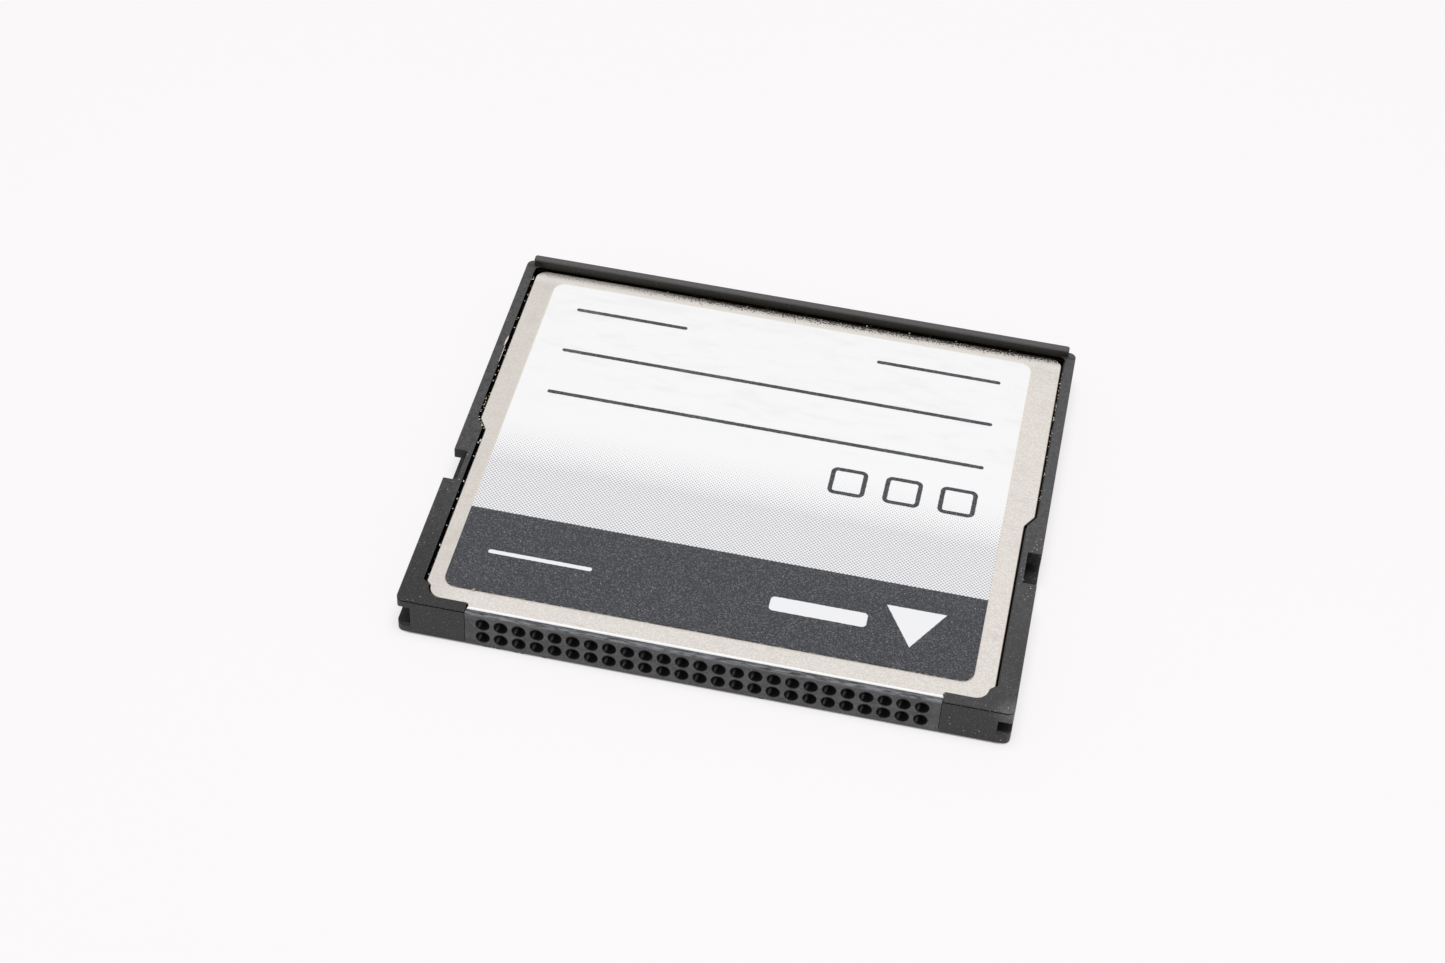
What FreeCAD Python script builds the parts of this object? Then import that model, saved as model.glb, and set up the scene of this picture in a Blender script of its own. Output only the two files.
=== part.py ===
import FreeCAD, Part
import math
import os

from FreeCAD import Vector

os.makedirs("parts", exist_ok=True)

# A Type I compact flash card lying front side down, in millimetres.
# X runs along the connector edge, Y from the connector edge to the rear lip, Z up.
# The origin is the centre of the footprint, on the face that the card rests on.

# Card body
card_width = 42.80
card_length = 36.40
card_thickness = 3.30
corner_radius = 0.50
bottom_break = 0.15
top_break = 0.05

# Lip along the rear edge of the back
lip_rise = 0.63
lip_depth = 0.65
lip_inset = 0.57
lip_corner_radius = 0.17
lip_break = 0.07

# Guide grooves in the two long sides, open at the connector edge
guide_length = 25.78
guide_depth = 1.01
guide_lead_in = 0.18
wide_guide_width = 1.60
wide_guide_top = 2.44
narrow_guide_width = 0.99
narrow_guide_top = 2.15

# Notches through the flange above each guide
notch_start = 12.00
notch_length = 3.00

# Parting line just under the top edge of the corner blocks
parting_height = 0.10
parting_depth = 0.15
parting_drop = 0.05

# Connector: two rows of sockets in a housing between the corner blocks
corner_block_width = 4.85
contact_pitch = 1.27
row_pitch = 1.27
housing_end_margin = 1.26
housing_side_gap = 0.05
housing_depth = 5.20
housing_drop = 0.08
housing_round = 0.07
key_reach = 0.80
key_width = 1.60
key_setback = 2.30
socket_sides = 10
socket_mouth_radius = 0.51
socket_bore_radius = 0.34
socket_funnel_depth = 0.42
socket_front_wall = 1.10
cell_width = 0.86
cell_height = 0.82

# Socket contacts, stamped flat, with a solder foot on the board
contact_thickness = 0.20
contact_height = 0.72
contact_end_gap = 0.10
tine_thickness = 0.11
tine_gap = 0.34
tine_length = 2.60
pinch_setback = 0.40
base_length = 0.60
tail_thickness = 0.12
tail_slope = 0.35
foot_length = 0.90

# Steel panels laid in the recesses of both faces, on bonding films, a little off centre
panel_thickness = 0.20
panel_recess = 0.10
panel_edge_break = 0.07
film_thickness = 0.06
film_inset = 0.10
panel_front_setback = 0.42
panel_shoulder_setback = 0.90
panel_narrow_margin = 1.57
panel_wide_margin = 0.94
panel_shift = 0.03
panel_jog_start = 17.55
panel_jog_length = 1.05
panel_notch = 0.35
panel_front_radius = 1.00
panel_rear_radius = 0.90
panel_inner_radius = 0.12
panel_side_gap = 0.20
panel_fit_gap = 0.04
panel_rear_gap = 0.25
recess_corner_radius = 0.45

# Printed films on the panels
label_thickness = 0.08
label_side_margin = 1.35
label_front_margin = 1.76
label_rear_margin = 1.18
label_shift = -0.23
label_radius = 0.90

# Room inside the frame
ledge_width = 0.63
rear_bar_width = 1.90
cavity_radius = 0.80

# Circuit board and what holds it
board_thickness = 0.40
board_clearance = 0.30
board_radius = 0.60
pad_size = 1.80
pin_radius = 0.45
pin_clearance = 0.05
pin_setback = 1.15
pin_rise = 0.35

# Packages on the board
chip_standoff = 0.05
chip_clearance = 0.04
chip_draft = 0.08
chip_mark_radius = 0.45
chip_mark_depth = 0.05
chip_mark_inset = 1.35
lead_thickness = 0.13
lead_width = 0.20
lead_pitch = 0.50
lead_foot = 0.50
memory_width = 12.00
memory_length = 18.40
memory_lead_reach = 0.80
memory_lead_margin = 0.25
controller_width = 10.00
controller_lead_reach = 1.00
controller_lead_margin = 1.25
regulator_width = 1.60
regulator_length = 2.90
regulator_height = 0.90
regulator_lead_reach = 0.60
regulator_lead_pitch = 0.95
regulator_lead_width = 0.40
ceramic_length = 1.60
ceramic_width = 0.80
ceramic_height = 0.80
resistor_height = 0.45
bulk_length = 3.20
bulk_width = 1.60
bulk_height = 0.95
part_pitch = 1.60
ceramic_count = 3
resistor_count = 3
under_board_count = 4

# Where the packages stand on the board
memory_rear_gap = 1.00
memory_pad_gap = 0.30
controller_side_gap = 0.50
controller_tail_gap = 0.60
passive_setback = 2.30
passive_gap = 0.50


def round_down(ratio):
    """Whole steps in a ratio, allowing for the last digits of a decimal size."""
    return math.floor(ratio + 1e-6)


# Places worked out from the sizes above
half_width = card_width / 2
half_length = card_length / 2
front = -half_length
rear = half_length
mid_height = card_thickness / 2
lip_front = rear - lip_depth
recess_depth = panel_recess + panel_thickness + film_thickness
seat_top = card_thickness - recess_depth
seat_bottom = recess_depth
guide_floor = half_width - guide_depth
opening_half = half_width - corner_block_width
housing_half = opening_half - housing_side_gap
contacts_per_row = round_down((2 * housing_half - 2 * housing_end_margin) / contact_pitch) + 1
housing_back = front + housing_depth
tail_foot = housing_back + tail_slope
tail_end = tail_foot + foot_length
panel_narrow = half_width - panel_narrow_margin
panel_wide = half_width - panel_wide_margin
panel_front = front + panel_front_setback
panel_shoulder = front + panel_shoulder_setback
panel_rear = lip_front - panel_rear_gap
cavity_half = panel_narrow - ledge_width
cavity_rear = rear - rear_bar_width
board_half = cavity_half - board_clearance
board_front = housing_back + board_clearance
board_rear = cavity_rear - board_clearance
board_bottom = mid_height - board_thickness / 2
board_top = mid_height + board_thickness / 2
chip_height = seat_top - board_top - chip_standoff - chip_clearance
memory_span = memory_length + 2 * memory_lead_reach
controller_span = controller_width + 2 * controller_lead_reach
regulator_span = regulator_width + 2 * regulator_lead_reach
memory_leads_per_side = round_down((memory_width - 2 * memory_lead_margin) / lead_pitch) + 1
controller_leads_per_side = round_down((controller_width - 2 * controller_lead_margin) / lead_pitch) + 1
pin_x = cavity_half - pin_setback
pin_y = cavity_rear - pin_setback


def rounded_outline(corners):
    """Close a wire through (x, y, radius) corners, each one turned by a tangent arc."""
    turns = []
    count = len(corners)
    for index, (x, y, radius) in enumerate(corners):
        here = Vector(x, y, 0)
        before = Vector(*corners[index - 1][:2], 0)
        after = Vector(*corners[(index + 1) % count][:2], 0)
        arriving = (here - before).normalize()
        leaving = (after - here).normalize()
        half_turn = arriving.getAngle(leaving) / 2
        if radius <= 0 or half_turn < 1e-6:
            turns.append((here, None, here))
            continue
        reach = radius * math.tan(half_turn)
        inward = (leaving - arriving).normalize()
        middle = here + inward * (radius / math.cos(half_turn) - radius)
        turns.append((here - arriving * reach, middle, here + leaving * reach))
    edges = []
    for index, (start, middle, end) in enumerate(turns):
        if middle is not None:
            edges.append(Part.Arc(start, middle, end).toShape())
        following = turns[(index + 1) % count][0]
        if (following - end).Length > 1e-6:
            edges.append(Part.makeLine(end, following))
    return Part.Wire(edges)


def plate(corners, low, high):
    """Extrude a rounded outline from one height to another."""
    face = Part.Face(rounded_outline(corners))
    face.translate(Vector(0, 0, low))
    return face.extrude(Vector(0, 0, high - low))


def block(low, high):
    """Box between two opposite corners."""
    size = [b - a for a, b in zip(low, high)]
    return Part.makeBox(*size, Vector(*low))


def rectangle(x_low, x_high, y_low, y_high, radius):
    """Corners of a rounded rectangle."""
    places = ((x_low, y_low), (x_high, y_low), (x_high, y_high), (x_low, y_high))
    return [(x, y, radius) for x, y in places]


def mirrored(shape):
    """The same shape on the other side of the card's centre line."""
    return shape.mirror(Vector(0, 0, 0), Vector(1, 0, 0))


def flipped(shape):
    """The same shape turned over about the card's mid height."""
    return shape.mirror(Vector(0, 0, mid_height), Vector(0, 0, 1))


def edges_where(shape, chosen):
    """Edges whose end points all pass the test."""
    edges = []
    for edge in shape.Edges:
        points = [vertex.Point for vertex in edge.Vertexes]
        if points and all(chosen(point) for point in points):
            edges.append(edge)
    return edges


def round_edges(shape, radius, chosen):
    """Fillet the chosen edges."""
    return shape.makeFillet(radius, edges_where(shape, chosen))


def break_edges(shape, size, chosen):
    """Chamfer the chosen edges, where a break is too small to read as round."""
    return shape.makeChamfer(size, edges_where(shape, chosen))


def panel_corners(side, fit, back, rear_radius):
    """Outline of a panel, grown by a gap at its sides, its connector end and its rear."""
    tongue = housing_half + fit
    narrow = panel_narrow + side
    wide = panel_wide + side
    shoulder = panel_narrow - panel_notch + fit
    jog = front + panel_jog_start
    half = [
        (tongue, panel_front - fit, 0),
        (tongue, panel_shoulder - fit, panel_inner_radius),
        (shoulder, panel_shoulder - fit, panel_front_radius),
        (shoulder, panel_shoulder + panel_front_radius, 0),
        (narrow, panel_shoulder + panel_front_radius + panel_notch, 0),
        (narrow, jog, 0),
        (wide, jog + panel_jog_length, 0),
        (wide, panel_rear + back, rear_radius),
    ]
    return half + [(-x, y, radius) for x, y, radius in reversed(half)]


def guide_cutter(width, top):
    """Guide groove of the right side, with a lead-in at the connector edge."""
    past = 1.0
    bottom = top - width
    groove = block((guide_floor, front - past, bottom), (half_width + past, front + guide_length, top))
    sections = []
    for y, flare in ((front - past, guide_lead_in + past), (front + guide_lead_in, 0)):
        low = Vector(guide_floor, y, bottom - flare)
        sections.append(Part.makePolygon([
            low,
            Vector(half_width + past, y, bottom - flare),
            Vector(half_width + past, y, top + flare),
            Vector(guide_floor, y, top + flare),
            low,
        ]))
    mouth = Part.makeLoft(sections, True, True)
    keep = block(
        (guide_floor, front - past, bottom - guide_lead_in),
        (half_width + past, rear, top + guide_lead_in))
    return groove.fuse(mouth.common(keep))


def notch_cutter(guide_top):
    """Notch through the flange above the guide of the right side."""
    past = 1.0
    y = front + notch_start
    return block(
        (guide_floor, y, guide_top - past / 2),
        (half_width + past, y + notch_length, card_thickness + past))


def card_frame():
    """Moulded frame: two rails, rear bar with its lip, and the corner blocks."""
    past = 1.0
    body = plate(rectangle(-half_width, half_width, front, rear, corner_radius), 0, card_thickness)
    body = break_edges(body, bottom_break, lambda point: point.z < 1e-6)
    body = break_edges(body, top_break, lambda point: point.z > card_thickness - 1e-6)

    lip_half = half_width - lip_inset
    lip_top = card_thickness + lip_rise
    lip = plate(rectangle(-lip_half, lip_half, lip_front, rear, lip_corner_radius), mid_height, lip_top)
    lip = break_edges(lip, lip_break, lambda point: point.z > lip_top - 1e-6)
    body = body.fuse(lip)

    above = card_thickness + past
    opening = block((-opening_half, front - past, -past), (opening_half, housing_back + past, above))
    cavity_outline = rectangle(-cavity_half, cavity_half, housing_back, cavity_rear, cavity_radius)
    cavity = plate(cavity_outline, -past, above)
    recess = panel_corners(panel_side_gap, panel_fit_gap, panel_rear_gap, recess_corner_radius)
    back_recess = plate(recess, seat_top, above)
    body = body.cut([opening, cavity])
    body = body.cut(back_recess)
    body = body.cut(flipped(back_recess))

    key_y = front + key_setback
    key_slot = block(
        (opening_half - past, key_y - housing_side_gap, -past),
        (housing_half + key_reach + housing_side_gap, key_y + key_width + housing_side_gap, above))
    body = body.cut([key_slot, mirrored(key_slot)])

    body = body.cut([
        guide_cutter(narrow_guide_width, narrow_guide_top),
        mirrored(guide_cutter(wide_guide_width, wide_guide_top)),
    ])
    body = body.cut([notch_cutter(narrow_guide_top), mirrored(notch_cutter(wide_guide_top))])

    parting_top = card_thickness - parting_drop
    parting = block(
        (opening_half, front - past, parting_top - parting_height),
        (half_width - corner_radius, front + parting_depth, parting_top))
    body = body.cut([parting, mirrored(parting)])

    for side in (-1, 1):
        for y in (housing_back, cavity_rear - pad_size):
            inner = side * (cavity_half - pad_size)
            outer = side * (cavity_half + ledge_width / 2)
            y_outer = y + pad_size
            if y > 0:
                y_outer += rear_bar_width / 2
            pad = block(
                (min(inner, outer), y, seat_bottom),
                (max(inner, outer), y_outer, board_bottom))
            body = body.fuse(pad)
        pin_top = board_top + pin_rise
        pin = Part.makeCylinder(pin_radius, pin_top - board_bottom, Vector(side * pin_x, pin_y, board_bottom))
        body = body.fuse(pin)
    return body.removeSplitter()


def connector_housing():
    """Socket block with its keys, two rows of funnel mouths and a cell behind each."""
    top = card_thickness - housing_drop
    step = panel_front - panel_fit_gap
    section = Part.makePolygon([Vector(-housing_half, y, z) for y, z in (
        (front, housing_drop),
        (front, top),
        (step, top),
        (step, seat_top),
        (housing_back, seat_top),
        (housing_back, seat_bottom),
        (step, seat_bottom),
        (step, housing_drop),
        (front, housing_drop),
    )])
    body = Part.Face(section).extrude(Vector(2 * housing_half, 0, 0))
    for level in (housing_drop, top):
        body = round_edges(
            body, housing_round, lambda point: point.y < front + 1e-6 and abs(point.z - level) < 1e-6)

    key_y = front + key_setback
    key = block((0, key_y, seat_bottom), (housing_half + key_reach, key_y + key_width, seat_top))
    body = body.fuse([key, mirrored(key)]).removeSplitter()

    socket = socket_cutter()
    cutters = []
    for x, z in socket_places():
        cutter = socket.copy()
        cutter.translate(Vector(x, front, z))
        cutters.append(cutter)
    return body.cut(cutters)


def socket_ring(radius, y):
    """Regular polygon about a socket's axis, with flats above and below."""
    step = 2 * math.pi / socket_sides
    angles = [(index + 0.5) * step for index in range(socket_sides)]
    points = [Vector(radius * math.sin(angle), y, radius * math.cos(angle)) for angle in angles]
    return Part.makePolygon(points + points[:1])


def socket_cutter():
    """One socket about its mouth: a funnel, a bore and the cell of its contact."""
    past = 0.2
    widening = (socket_mouth_radius - socket_bore_radius) / socket_funnel_depth
    mouth = socket_ring(socket_mouth_radius + widening * past, -past)
    throat = socket_ring(socket_bore_radius, socket_funnel_depth)
    funnel = Part.makeLoft([mouth, throat], True, True)
    bore = Part.Face(throat).extrude(Vector(0, socket_front_wall + past - socket_funnel_depth, 0))
    cell = block(
        (-cell_width / 2, socket_front_wall, -cell_height / 2),
        (cell_width / 2, housing_depth + past, cell_height / 2))
    return funnel.fuse([bore, cell]).removeSplitter()


def socket_places():
    """Centres of the sockets, upper row first."""
    first = -(contacts_per_row - 1) * contact_pitch / 2
    for z in (mid_height + row_pitch / 2, mid_height - row_pitch / 2):
        for index in range(contacts_per_row):
            yield first + index * contact_pitch, z


def contact_row():
    """Contacts of the upper row: a fork behind each bore and a foot on the board."""
    axis = mid_height + row_pitch / 2
    tip = front + socket_front_wall + contact_end_gap
    pinch = tip + pinch_setback
    root = tip + tine_length
    base = root + base_length
    half = contact_height / 2
    inner = tine_gap / 2
    outer = inner + tine_thickness
    low = board_top - axis
    outline = (
        (tip, outer),
        (pinch, inner),
        (root, half - tine_thickness),
        (root, tine_thickness - half),
        (pinch, -inner),
        (tip, -outer),
        (root, -half),
        (housing_back, -half),
        (tail_foot, low),
        (tail_end, low),
        (tail_end, low + tail_thickness),
        (tail_foot, low + tail_thickness),
        (housing_back, tail_thickness - half),
        (base, tail_thickness - half),
        (base, half),
        (root, half),
    )
    points = [Vector(-contact_thickness / 2, y, axis + z) for y, z in outline]
    blank = Part.Face(Part.makePolygon(points + points[:1])).extrude(Vector(contact_thickness, 0, 0))
    row = []
    for x, z in socket_places():
        if z > mid_height:
            contact = blank.copy()
            contact.translate(Vector(x, 0, 0))
            row.append(contact)
    return Part.makeCompound(row)


def panel():
    """Steel panel of the back, its outer edge rolled over by the press that blanked it."""
    top = card_thickness - panel_recess
    body = plate(panel_corners(0, 0, 0, panel_rear_radius), top - panel_thickness, top)
    body = break_edges(body, panel_edge_break, lambda point: point.z > top - 1e-6)
    return placed(body, panel_shift, 0)


def bonding_film():
    """Film between the back panel and the frame's ledge."""
    inset = -film_inset
    body = plate(panel_corners(inset, inset, inset, panel_rear_radius), seat_top, seat_top + film_thickness)
    return placed(body, panel_shift, 0)


def label():
    """Printed film on the back panel."""
    centre = panel_shift + label_shift
    half = panel_narrow - label_side_margin
    low = card_thickness - panel_recess
    corners = rectangle(
        centre - half, centre + half,
        panel_front + label_front_margin, panel_rear - label_rear_margin, label_radius)
    return plate(corners, low, low + label_thickness)


def circuit_board():
    """Board on the frame's pads, with a hole for each locating pin."""
    outline = rectangle(-board_half, board_half, board_front, board_rear, board_radius)
    body = plate(outline, board_bottom, board_top)
    for side in (-1, 1):
        hole = Part.makeCylinder(
            pin_radius + pin_clearance, 2 * board_thickness,
            Vector(side * pin_x, pin_y, board_bottom - board_thickness / 2))
        body = body.cut(hole)
    return body


def package_body(width, length, height, marked):
    """Moulded package about the origin, its sides drafted both ways, with a dimple at pin 1 if marked."""
    floor = board_top + chip_standoff
    waist = floor + height / 2
    halves = []
    for level in (floor, floor + height):
        sections = []
        for z, draft in ((level, chip_draft), (waist, 0)):
            x = width / 2 - draft
            y = length / 2 - draft
            wire = rounded_outline(rectangle(-x, x, -y, y, 0))
            wire.translate(Vector(0, 0, z))
            sections.append(wire)
        halves.append(Part.makeLoft(sections, True, True))
    body = halves[0].fuse(halves[1]).removeSplitter()
    if not marked:
        return body
    mark = Part.makeCylinder(
        chip_mark_radius, 2 * chip_mark_depth,
        Vector(chip_mark_inset - width / 2, chip_mark_inset - length / 2, floor + height - chip_mark_depth))
    return body.cut(mark)


def gull_lead(width, span, height, body_width):
    """One lead on the +X side of a package, from the body's waist down to the board."""
    waist = board_top + chip_standoff + height / 2
    end = span / 2
    heel = end - lead_foot
    outline = (
        (body_width / 2, waist + lead_thickness / 2),
        (heel + lead_thickness, board_top + lead_thickness),
        (end, board_top + lead_thickness),
        (end, board_top),
        (heel, board_top),
        (body_width / 2, waist - lead_thickness / 2),
    )
    points = [Vector(x, -width / 2, z) for x, z in outline]
    return Part.Face(Part.makePolygon(points + points[:1])).extrude(Vector(0, width, 0))


def lead_rows(lead, offsets_by_angle):
    """Copies of a lead along the sides of a package, each side given by its angle."""
    leads = []
    for angle, offsets in offsets_by_angle.items():
        for offset in offsets:
            copy = lead.copy()
            copy.translate(Vector(0, offset, 0))
            copy.rotate(Vector(0, 0, 0), Vector(0, 0, 1), angle)
            leads.append(copy)
    return Part.makeCompound(leads)


def spread(count, pitch):
    """Offsets of a centred row."""
    return [(index - (count - 1) / 2) * pitch for index in range(count)]


def placed(shape, x, y, turn=0):
    """Turn a shape about its own centre and move it over the board."""
    moved = shape.copy()
    moved.rotate(Vector(0, 0, 0), Vector(0, 0, 1), turn)
    moved.translate(Vector(x, y, 0))
    return moved


def chip(length, width, height):
    """Plain two-terminal chip part on the board."""
    return block((-length / 2, -width / 2, board_top), (length / 2, width / 2, board_top + height))


def row_of(part, count, x):
    """A row of small parts side by side along the board's rear edge."""
    return [placed(part, x + offset, passive_y, 90) for offset in spread(count, part_pitch)]


# Places on the board
memory_x = cavity_half - pad_size - memory_width / 2 - memory_pad_gap
memory_y = board_rear - memory_span / 2 - memory_rear_gap
controller_x = -(board_half - controller_span / 2 - controller_side_gap)
controller_y = tail_end + controller_span / 2 + controller_tail_gap
passive_y = board_rear - passive_setback
regulator_x = pin_radius + passive_gap + regulator_length / 2 - pin_x
ceramic_x = regulator_x + regulator_length / 2 + passive_gap + ceramic_count * part_pitch / 2
resistor_x = ceramic_x + (ceramic_count + resistor_count) * part_pitch / 2
bulk_x = resistor_x + resistor_count * part_pitch / 2 + bulk_width / 2

# Packages: a memory's leads are on its short ends, so its length runs along Y
memory = package_body(memory_length, memory_width, chip_height, True)
memory_lead = gull_lead(lead_width, memory_span, chip_height, memory_length)
memory_leads = lead_rows(memory_lead, {side: spread(memory_leads_per_side, lead_pitch) for side in (0, 180)})
controller = package_body(controller_width, controller_width, chip_height, True)
controller_lead = gull_lead(lead_width, controller_span, chip_height, controller_width)
controller_rows = {side: spread(controller_leads_per_side, lead_pitch) for side in (0, 90, 180, 270)}
controller_leads = lead_rows(controller_lead, controller_rows)
regulator = package_body(regulator_width, regulator_length, regulator_height, False)
regulator_lead = gull_lead(regulator_lead_width, regulator_span, regulator_height, regulator_width)
regulator_leads = lead_rows(regulator_lead, {
    0: spread(3, regulator_lead_pitch),
    180: spread(2, 2 * regulator_lead_pitch),
})

ceramic = chip(ceramic_length, ceramic_width, ceramic_height)
resistor = chip(ceramic_length, ceramic_width, resistor_height)
bulk = chip(bulk_length, bulk_width, bulk_height)
ceramics = row_of(ceramic, ceramic_count, ceramic_x)
ceramics += [flipped(part) for part in row_of(ceramic, under_board_count, -memory_x)]
resistors = row_of(resistor, resistor_count, resistor_x)

back_panel = panel()
back_film = bonding_film()
back_print = label()
upper_row = contact_row()

nodes = {
    "card_frame": card_frame(),
    "connector_housing": connector_housing(),
    "upper_row_contacts": upper_row,
    "lower_row_contacts": flipped(upper_row),
    "back_cover": back_panel,
    "front_cover": flipped(back_panel),
    "back_bonding_film": back_film,
    "front_bonding_film": flipped(back_film),
    "back_label": back_print,
    "front_label": flipped(back_print),
    "circuit_board": circuit_board(),
    "controller_body": placed(controller, controller_x, controller_y),
    "controller_leads": placed(controller_leads, controller_x, controller_y),
    "upper_memory_body": placed(memory, memory_x, memory_y, 90),
    "upper_memory_leads": placed(memory_leads, memory_x, memory_y, 90),
    "lower_memory_body": flipped(placed(memory, memory_x, memory_y, 90)),
    "lower_memory_leads": flipped(placed(memory_leads, memory_x, memory_y, 90)),
    "voltage_regulator_body": placed(regulator, regulator_x, passive_y, 90),
    "voltage_regulator_leads": placed(regulator_leads, regulator_x, passive_y, 90),
    "ceramic_capacitors": Part.makeCompound(ceramics),
    "chip_resistors": Part.makeCompound(resistors),
    "bulk_capacitor": placed(bulk, bulk_x, passive_y, 90),
}

for name, shape in nodes.items():
    shape.exportStep(f"parts/{name}.step")
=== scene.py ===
import math
import random

import bpy
from mathutils import Euler, Matrix, Quaternion, Vector


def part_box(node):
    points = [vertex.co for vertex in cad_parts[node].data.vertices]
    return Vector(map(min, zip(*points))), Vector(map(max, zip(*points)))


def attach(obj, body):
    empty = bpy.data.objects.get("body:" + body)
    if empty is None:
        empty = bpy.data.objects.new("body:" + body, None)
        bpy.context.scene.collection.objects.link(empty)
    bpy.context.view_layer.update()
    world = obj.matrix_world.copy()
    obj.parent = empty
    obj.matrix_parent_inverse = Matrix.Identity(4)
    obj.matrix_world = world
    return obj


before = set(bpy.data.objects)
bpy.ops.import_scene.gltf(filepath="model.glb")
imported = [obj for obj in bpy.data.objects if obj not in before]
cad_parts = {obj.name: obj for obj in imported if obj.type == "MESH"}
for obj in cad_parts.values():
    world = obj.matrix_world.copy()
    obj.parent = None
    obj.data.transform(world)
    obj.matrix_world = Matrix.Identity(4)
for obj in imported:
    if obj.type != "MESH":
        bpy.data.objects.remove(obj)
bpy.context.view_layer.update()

# A compact flash card, front side down on a pale table, seen over its connector edge.
# X runs along the connector edge, Y from the connector edge to the rear lip, Z up.
# Sizes below are in millimetres, and MM takes them to the scene's metres.
MM = 0.001

# Photograph: where the camera stood, what it was aimed at and how far it was rolled
PHOTO_WIDTH = 1445
CAMERA_PLACE = Vector((19.554, -136.659, 142.940))
CAMERA_AIM = Vector((-2.436, 1.486, 0.0))
CAMERA_ROLL = 3.726
FOCAL_PIXELS = 2722.8
SENSOR_WIDTH = 36.0
CLIP_START = 0.01

# Studio
FLOOR_SIZE = 2400.0
SOFTBOX_SIZE = 300.0
SOFTBOX_PLACE = Vector((20.0, -50.0, 600.0))
SOFTBOX_WATTS = 3.03
SKY_LEVEL = 0.22
TABLE_GLOW = 0.66

# Places taken from the frame, in millimetres
PANEL_LOW, PANEL_HIGH = (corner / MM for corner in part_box("back_cover"))
LABEL_LOW, LABEL_HIGH = (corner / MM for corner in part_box("back_label"))
HOUSING_LOW, HOUSING_HIGH = (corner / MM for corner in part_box("connector_housing"))
FRAME_LOW, FRAME_HIGH = (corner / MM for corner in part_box("card_frame"))
CHIPS_LOW, CHIPS_HIGH = (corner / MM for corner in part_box("ceramic_capacitors"))
BULK_LOW, BULK_HIGH = (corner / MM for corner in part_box("bulk_capacitor"))
PANEL_RECESS = 0.10
LIP_WIDTH = 0.65
RAIL_TOP = PANEL_HIGH.z + PANEL_RECESS
LIP_FRONT = FRAME_HIGH.y - LIP_WIDTH

# The steel panel steps in at its jog, towards the connector edge, and a gap runs down both its sides
PANEL_JOG = 0.63
JOG_START = -0.65
JOG_END = 0.40
GAP_WIDTH = 0.23
WIDE_GAP = PANEL_LOW.x - GAP_WIDTH / 2
NARROW_GAP = WIDE_GAP + PANEL_JOG
RIGHT_GRAIN_OFFSET = 0.085
RIGHT_GAP = PANEL_HIGH.x + RIGHT_GRAIN_OFFSET

# The parting line on the frame's front, the notches in its rails, and the height that parts the
# gaps' walls from the notches' floors
PARTING_HEIGHT = 3.20
NOTCH_MIDDLE = -4.7
GAP_FLOOR = PANEL_LOW.z - 0.3

# The sockets, the size of each mouth's painted shade, and the painted highlight on its funnel, from its axis
SOCKET_PITCH = 1.27
SOCKETS_IN_ROW = 25
MOUTH_HALF_WIDTH = 0.50
MOUTH_HALF_HEIGHT = 0.57
SOCKET_GLINT = (-0.24, 0.0, -0.27)

# Print on the back label, in the card's own millimetres
BAND_EDGE = -8.4
TONE_EDGE = -3.6
TONE_FADE = 5.2
TONE_PITCH = 0.20
RULE_WEIGHT = 0.34
INK_BLUR = 0.03
LINE_LEFT = -16.4
LINE_RIGHT = 16.2
BOX_LOW = -0.9
BOX_HIGH = 1.8
BOX_WIDTH = 2.7
BOX_PITCH = 4.0
BOX_CORNER = 0.5
BOX_COUNT = 3

# Crumbs on the rails and blocks, most of them round the right notch, as (x, y)
RAIL_CRUMBS = (
    (21.00, -2.86), (20.68, -3.07), (21.15, -1.75), (20.17, -4.90), (20.15, -5.15), (20.45, -5.92),
    (20.97, -6.45), (21.02, -6.62), (20.92, -7.40), (20.74, -7.70), (20.94, -2.36), (-20.30, -3.60),
    (-20.20, -6.14), (-20.75, -7.3), (20.90, -17.70), (-19.80, -17.60), (19.40, -17.85),
)

# Marks that the mould left on the front of the right block, as (x, z)
MOULD_MARKS = ((17.15, 1.83), (17.25, 1.17), (18.23, 0.72), (19.25, 0.98))


def linear(code):
    """An sRGB hex colour as linear RGBA."""
    channels = [int(code[start:start + 2], 16) / 255 for start in (1, 3, 5)]
    return [c / 12.92 if c <= 0.04045 else ((c + 0.055) / 1.055) ** 2.4 for c in channels] + [1.0]


def add(tree, kind, inputs=None, output=0, **settings):
    """Add one node with its settings, fill or link its inputs by name or number, and give one output."""
    node = tree.nodes.new(kind)
    for name, value in settings.items():
        setattr(node, name, value)
    for socket, value in (inputs or {}).items():
        if isinstance(value, bpy.types.NodeSocket):
            tree.links.new(value, node.inputs[socket])
        else:
            node.inputs[socket].default_value = value
    return node.outputs[output]


def new_surface(name, roughness, metallic=0.0, ior=1.5):
    """A new material: itself, its tree, its shader and the piece's own place in millimetres."""
    material = bpy.data.materials.new(name)
    material.use_nodes = True
    tree = material.node_tree
    shader = tree.nodes["Principled BSDF"]
    shader.inputs["Roughness"].default_value = roughness
    shader.inputs["Metallic"].default_value = metallic
    shader.inputs["IOR"].default_value = ior
    metres = add(tree, "ShaderNodeTexCoord", output="Object")
    place = add(tree, "ShaderNodeVectorMath", {0: metres, "Scale": 1 / MM}, operation="SCALE")
    return material, tree, shader, place


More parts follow.
